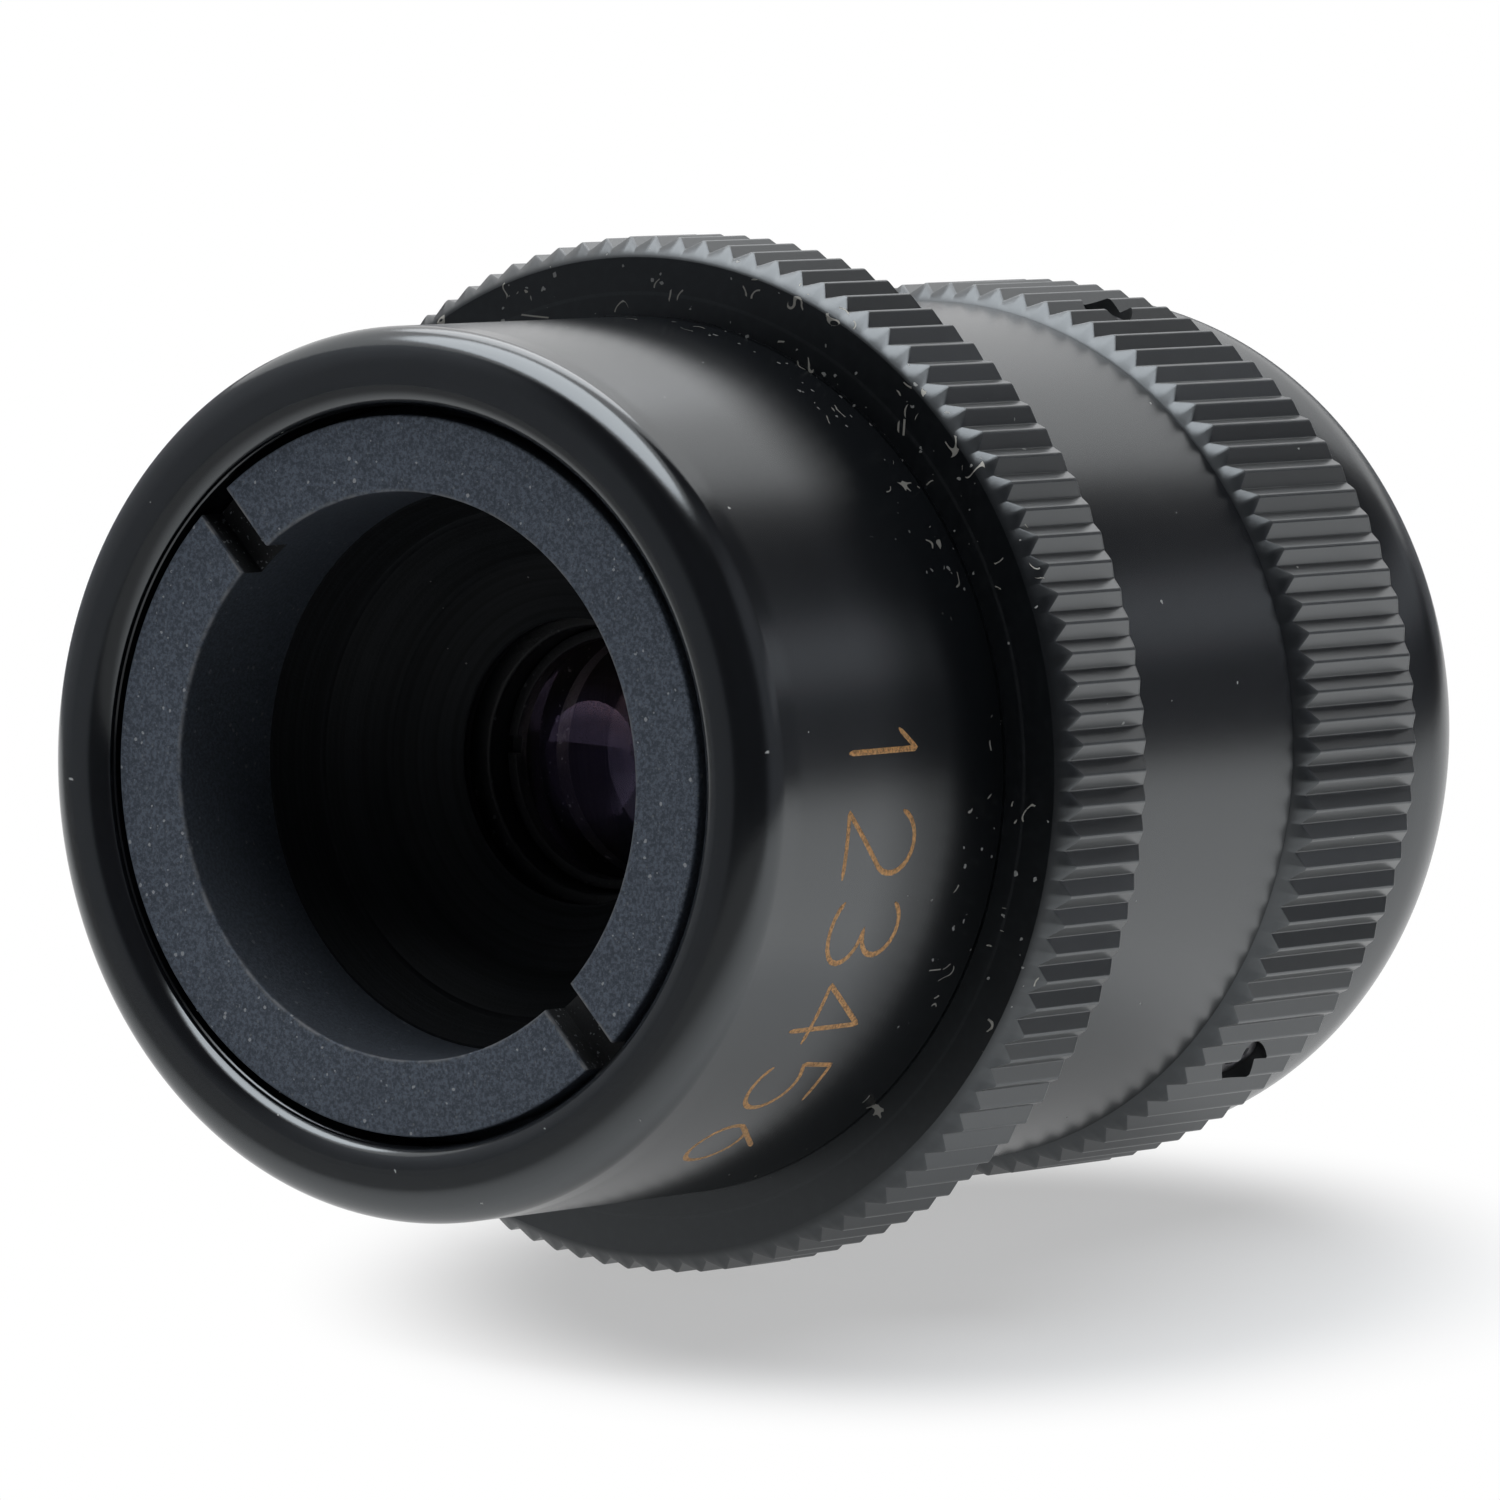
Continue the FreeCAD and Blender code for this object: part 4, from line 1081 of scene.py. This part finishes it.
def engraved_numbers():
    """A row of plain numbers round the barrel, their heads towards the lock ring."""
    solids = []
    for place, figure in enumerate(NUMBERS):
        start = math.radians(NUMBER_FIRST_ANGLE + place * NUMBER_STEP_ANGLE) * NOSE_RADIUS
        path = np.array([start, NUMBER_BASE]) + stroke(figure) * (NUMBER_WIDTH, NUMBER_HEIGHT)
        solids.append(stroke_solid(resample(path, NUMBER_SPACING)))
    piece("engraved_numbers", *join(solids), "barrel", "brass", material=GOLD)


# ================================================================ stage, light and camera
CAMERA_PLACE = (282.8, -393.49, 51.12)
CAMERA_AIM = (3.31, 2.09, 0.48)
CAMERA_ROLL = 0.13                  # degrees
CAMERA_LENS = 324.0
CAMERA_SENSOR = 36.0
CAMERA_CLIP = (0.01, 20.0)          # metres
AMBIENT = 0.35                      # strength of the world's fill, where white is 1
FLOOR_RADIUS = 1600.0
FLOOR_FIRST_RING = 10.0
FLOOR_RINGS = 24
FLOOR_STEPS = 96
FLOOR_TONES = ((0.84, 0.85, 0.86), (0.88, 0.885, 0.89))
SHADE_PLACE = (9.5, 8.5)            # right and ahead: the shaded patch that the object throws
SHADE_SIZE = (22.0, 24.0)
SHADE_EDGE = (0.6, 1.1)
NEAR_GLOW = 0.46                    # share of white that the camera adds to the table in the shade
FRONT_SPAN = (-5.0, -60.0)          # where the mirrored table starts to dim and is dimmest, in y
FRONT_DIM = 0.70
RIGHT_SPAN = (20.0, 80.0)           # the same to the right, in x
RIGHT_REACH = (90.0, 290.0)         # and in the distance from the middle
RIGHT_DIM = 0.80
CLOTH_START, CLOTH_END = 10.0, 310.0    # azimuths from +Y towards +X; the low card closes the gap
CLOTH_FALL_START = 200.0                # from here on the cloth comes nearer and gets lower
CLOTH_DISTANCE = (270.0, 140.0)
CLOTH_TOP = (62.0, 18.0)                # elevation of its top edge, seen from the object
CLOTH_COLUMNS = 97
CLOTH_FRONT_TONE = (0.07, 0.07, 0.075)
CLOTH_SIDE_TONE = (0.36, 0.36, 0.38)
CLOTH_LEFT_TONE = (0.44, 0.44, 0.45)
CLOTH_BAND_TONE = (0.62, 0.62, 0.64)
CLOTH_LEFT_SPAN = (-60.0, -220.0)       # x where the left side starts and is whole
CLOTH_RIGHT_SPANS = ((90.0, 260.0), (-120.0, 10.0))     # the same for the right side, in x and in y
CLOTH_BAND_HEIGHTS = ((58.0, 80.0), (125.0, 100.0))     # the pale band's lower and upper edge
CLOTH_BAND_SPANS = ((30.0, 90.0), (60.0, 130.0))        # where it starts and is whole, in x and in y
CARD_TOP = 14.5                         # elevation of the low card's top edge
CARD_COLUMNS = 31
CARD_TONE = (0.42, 0.42, 0.43)
SHEET_ROWS = 6
SOFT_LIGHTS = (     # name, place and aim on the table, width and depth, radiance, colour
    ("overhead", (-50, -20, 320), (-50, -20, 0), (400, 240), 3.8, (0.94, 0.97, 1.0)),
    ("behind", (-155, 247, 302), (0, 5, 10), (300, 200), 2.2, (0.97, 0.98, 1.0)),
)


def table_frame():
    """Middle and axes of the table that the two knurled rings lie on: it touches each ring's crest
    at the ring's rear chamfer."""
    lock_y, grip_y = LOCK_REAR - KNURL_CHAMFER, GRIP_REAR - KNURL_CHAMFER
    rise = (LOCK_CREST - GRIP_CREST) / (grip_y - lock_y)
    ahead = Vector((0, 1, rise)).normalized()
    up = Vector((0, -rise, 1)).normalized()
    foot = Vector((0, lock_y, -LOCK_CREST))
    return foot - ahead * foot.dot(ahead), Vector((1, 0, 0)), ahead, up


TABLE_CENTRE, TABLE_RIGHT, TABLE_AHEAD, TABLE_UP = table_frame()


def on_table(right, ahead, up):
    """A place given in the table's own axes, in metres."""
    return (TABLE_CENTRE + TABLE_RIGHT * right + TABLE_AHEAD * ahead + TABLE_UP * up) * MM


def table_points(right, ahead, up):
    """Points given in the table's own axes: its middle plus each number times that number's axis."""
    flat = np.stack(np.broadcast_arrays(right, ahead, up), -1).reshape(-1, 3)
    return flat @ np.array([TABLE_RIGHT, TABLE_AHEAD, TABLE_UP]) + np.array(TABLE_CENTRE)


def ray_masks(make):
    """1 for camera, glossy and transmission rays, and 1 for glossy rays alone."""
    outputs = ("Is Camera Ray", "Is Glossy Ray", "Is Transmission Ray")
    seen, mirrored, through = make.node("LightPath", {}, {}, *outputs)
    return seen.most(mirrored).most(through), mirrored


def stage_piece(name, points, material, *blocks, camera_sees=True):
    """An object of the set, which isn't part of the eyepiece."""
    obj = new_object(name, points, *blocks)
    mesh = obj.data
    mesh.polygons.foreach_set("use_smooth", np.ones(len(mesh.polygons), bool))
    mesh.materials.append(material)
    obj.visible_camera = camera_sees


def white_table():
    """What the camera sees of the table gets whiter away from the shaded patch: a share of white
    goes up with the distance from that patch's middle, measured in its own half widths. The metal
    mirrors the table darker than it is at the front, where whoever takes the picture stands in its
    light, and far off at the right."""
    make = finish("white_table")
    place, x, y, _, _ = make.place()
    seen, mirrored = ray_masks(make)
    across = (x - SHADE_PLACE[0]) * (1 / SHADE_SIZE[0])
    along = (y - SHADE_PLACE[1]) * (1 / SHADE_SIZE[1])
    clear = ((across * across + along * along) ** 0.5).ramp(*SHADE_EDGE)
    tone = make.blend(make.noise(place, scale=0.05, detail=3.0), *FLOOR_TONES)
    paint = make.skin(tone, 0.6, specular_ior_level=0.2)
    glow = make.node("Emission", {}, {"Strength": 1.0}, 0)
    lit = make.mixed(clear.rising_from(NEAR_GLOW) * seen, paint, glow)
    front = y.ramp(*FRONT_SPAN) * FRONT_DIM
    right = x.ramp(*RIGHT_SPAN) * ((x * x + y * y) ** 0.5).ramp(*RIGHT_REACH) * RIGHT_DIM
    dark = make.node("Emission", {}, {"Strength": 0.0}, 0)
    return make.output(make.mixed(mirrored * front.most(right), lit, dark))


def table_top():
    """Plain pale table top: rings of points, whose radii grow by an even ratio, and a fan in the
    middle."""
    rings = np.geomspace(FLOOR_FIRST_RING, FLOOR_RADIUS, FLOOR_RINGS)[:, None]
    angle = even_angles(FLOOR_STEPS)
    points = table_points(rings * np.cos(angle), rings * np.sin(angle), 0)
    points = np.concatenate([points, table_points(0, 0, 0)])
    here = np.arange(FLOOR_STEPS)
    fan = np.stack([np.full(FLOOR_STEPS, len(points) - 1), here, (here + 1) % FLOOR_STEPS], -1)
    walls = grid_faces(FLOOR_RINGS, FLOOR_STEPS, False, True)
    stage_piece("table_top", points, white_table(), walls, fan)


def standing_sheet(name, material, degrees, share, top):
    """Upright sheet on the table. Its distance at each azimuth goes by share from the first to the
    second of CLOTH_DISTANCE, and top is the elevation of its upper edge. The camera looks through."""
    distance = CLOTH_DISTANCE[0] + (CLOTH_DISTANCE[1] - CLOTH_DISTANCE[0]) * share
    azimuth = np.radians(degrees)
    up = np.linspace(0, 1, SHEET_ROWS)[:, None] * distance * np.tan(np.radians(top))
    points = table_points(distance * np.sin(azimuth), distance * np.cos(azimuth), up)
    faces = grid_faces(SHEET_ROWS, len(degrees), False, False)
    stage_piece(name, points, material, faces, camera_sees=False)


def dark_cloth():
    """Curved dark cloth round the front and sides of the set, so that the black metal has
    something dark to reflect. It comes nearer and gets lower over its left part. Its sides are
    greyer than its front, and a pale band crosses its right part behind the object."""
    make = finish("dark_cloth")
    _, x, y, z, _ = make.place()
    left = x.ramp(*CLOTH_LEFT_SPAN)
    side = left.most(x.ramp(*CLOTH_RIGHT_SPANS[0]) * y.ramp(*CLOTH_RIGHT_SPANS[1]))
    band = z.ramp(*CLOTH_BAND_HEIGHTS[0]) * z.ramp(*CLOTH_BAND_HEIGHTS[1])
    band = band * x.ramp(*CLOTH_BAND_SPANS[0]) * y.ramp(*CLOTH_BAND_SPANS[1])
    tone = make.blend(side, CLOTH_FRONT_TONE, CLOTH_SIDE_TONE)
    tone = make.layered(tone, (left, CLOTH_LEFT_TONE), (band, CLOTH_BAND_TONE))
    cloth = make.output(make.skin(tone, 1.0, specular_ior_level=0.0))
    degrees = np.linspace(CLOTH_START, CLOTH_END, CLOTH_COLUMNS)
    fall = np.clip((degrees - CLOTH_FALL_START) / (CLOTH_END - CLOTH_FALL_START), 0, 1)
    top = CLOTH_TOP[0] + (CLOTH_TOP[1] - CLOTH_TOP[0]) * fall
    standing_sheet("dark_cloth", cloth, degrees, fall, top)


def low_card():
    """Low grey card that closes the gap behind, so that the far rim of the shoulder mirrors grey
    and not the white surround."""
    make = finish("grey_card")
    card = make.output(make.skin(CARD_TONE, 1.0, specular_ior_level=0.0))
    degrees = np.linspace(CLOTH_END, CLOTH_START + 360, CARD_COLUMNS)
    standing_sheet("low_card", card, degrees, np.linspace(1, 0, CARD_COLUMNS), CARD_TOP)


def soft_light(name, place, aim, size, radiance, colour):
    """Oval soft light. Its radiance is power / (pi x area)."""
    lamp = bpy.data.lights.new(name, "AREA")
    lamp.shape = "ELLIPSE"
    lamp.size, lamp.size_y = size[0] * MM, size[1] * MM
    lamp.energy = radiance * math.pi * (math.pi / 4 * lamp.size * lamp.size_y)
    lamp.color = colour
    obj = bpy.data.objects.new(name, lamp)
    bpy.context.scene.collection.objects.link(obj)
    obj.location = on_table(*place)
    away = obj.location - on_table(*aim)
    obj.rotation_euler = away.to_track_quat("Z", "Y").to_euler()
    obj.visible_camera = False


def white_surround():
    """World: white for what is seen directly or mirrored, and a plain soft fill for the rest."""
    sky = bpy.data.worlds.new("white_surround")
    bpy.context.scene.world = sky
    make = Finish(sky)
    seen, _ = ray_masks(make)
    sockets = {"Color": (1, 1, 1, 1), "Strength": seen.rising_from(AMBIENT)}
    make.output(make.node("Background", {}, sockets, 0), "OutputWorld")


def camera():
    """Long lens from the photograph's side, level with the table but for a small roll."""
    data = bpy.data.cameras.new("camera")
    data.lens = CAMERA_LENS
    data.sensor_width = CAMERA_SENSOR
    data.clip_start, data.clip_end = CAMERA_CLIP
    obj = bpy.data.objects.new("camera", data)
    bpy.context.scene.collection.objects.link(obj)
    place, aim = Vector(CAMERA_PLACE) * MM, Vector(CAMERA_AIM) * MM
    back = (place - aim).normalized()
    right = TABLE_UP.cross(back).normalized()
    up = back.cross(right)
    basis = Matrix((right, up, back)).transposed()
    basis = basis @ Matrix.Rotation(math.radians(CAMERA_ROLL), 3, "Z")
    obj.matrix_world = Matrix.Translation(place) @ basis.to_4x4()
    bpy.context.scene.camera = obj


# ================================================================ the scene
def dress_nodes():
    """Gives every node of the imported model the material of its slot."""
    for part in frame["record"]["subparts"]:
        node = frame["nodes"][part["node"]]
        for place in node.material_slots:
            place.material = MATERIALS[part["material_slot"]]


bpy.context.scene.view_settings.view_transform = "Standard"
camera()
white_surround()
table_top()
dark_cloth()
low_card()
for light in SOFT_LIGHTS:
    soft_light(*light)

dress_nodes()
nose_tube()
slotted_ring()
baffle_steps()
lock_ring_knurled()
focus_band()
grip_ring_knurled()
grub_screw_set()
rounded_shoulder()
front_cell_rim()
front_keeper_ring()
eye_keeper_ring()
glass_disc("front_glass", FRONT_GLASS_VERTEX, FRONT_GLASS, FRONT_GLASS_RADIUS, "front_crown")
glass_disc("eye_glass", EYE_GLASS_VERTEX, EYE_GLASS, EYE_GLASS_RADIUS, "eye_lens")
engraved_numbers()
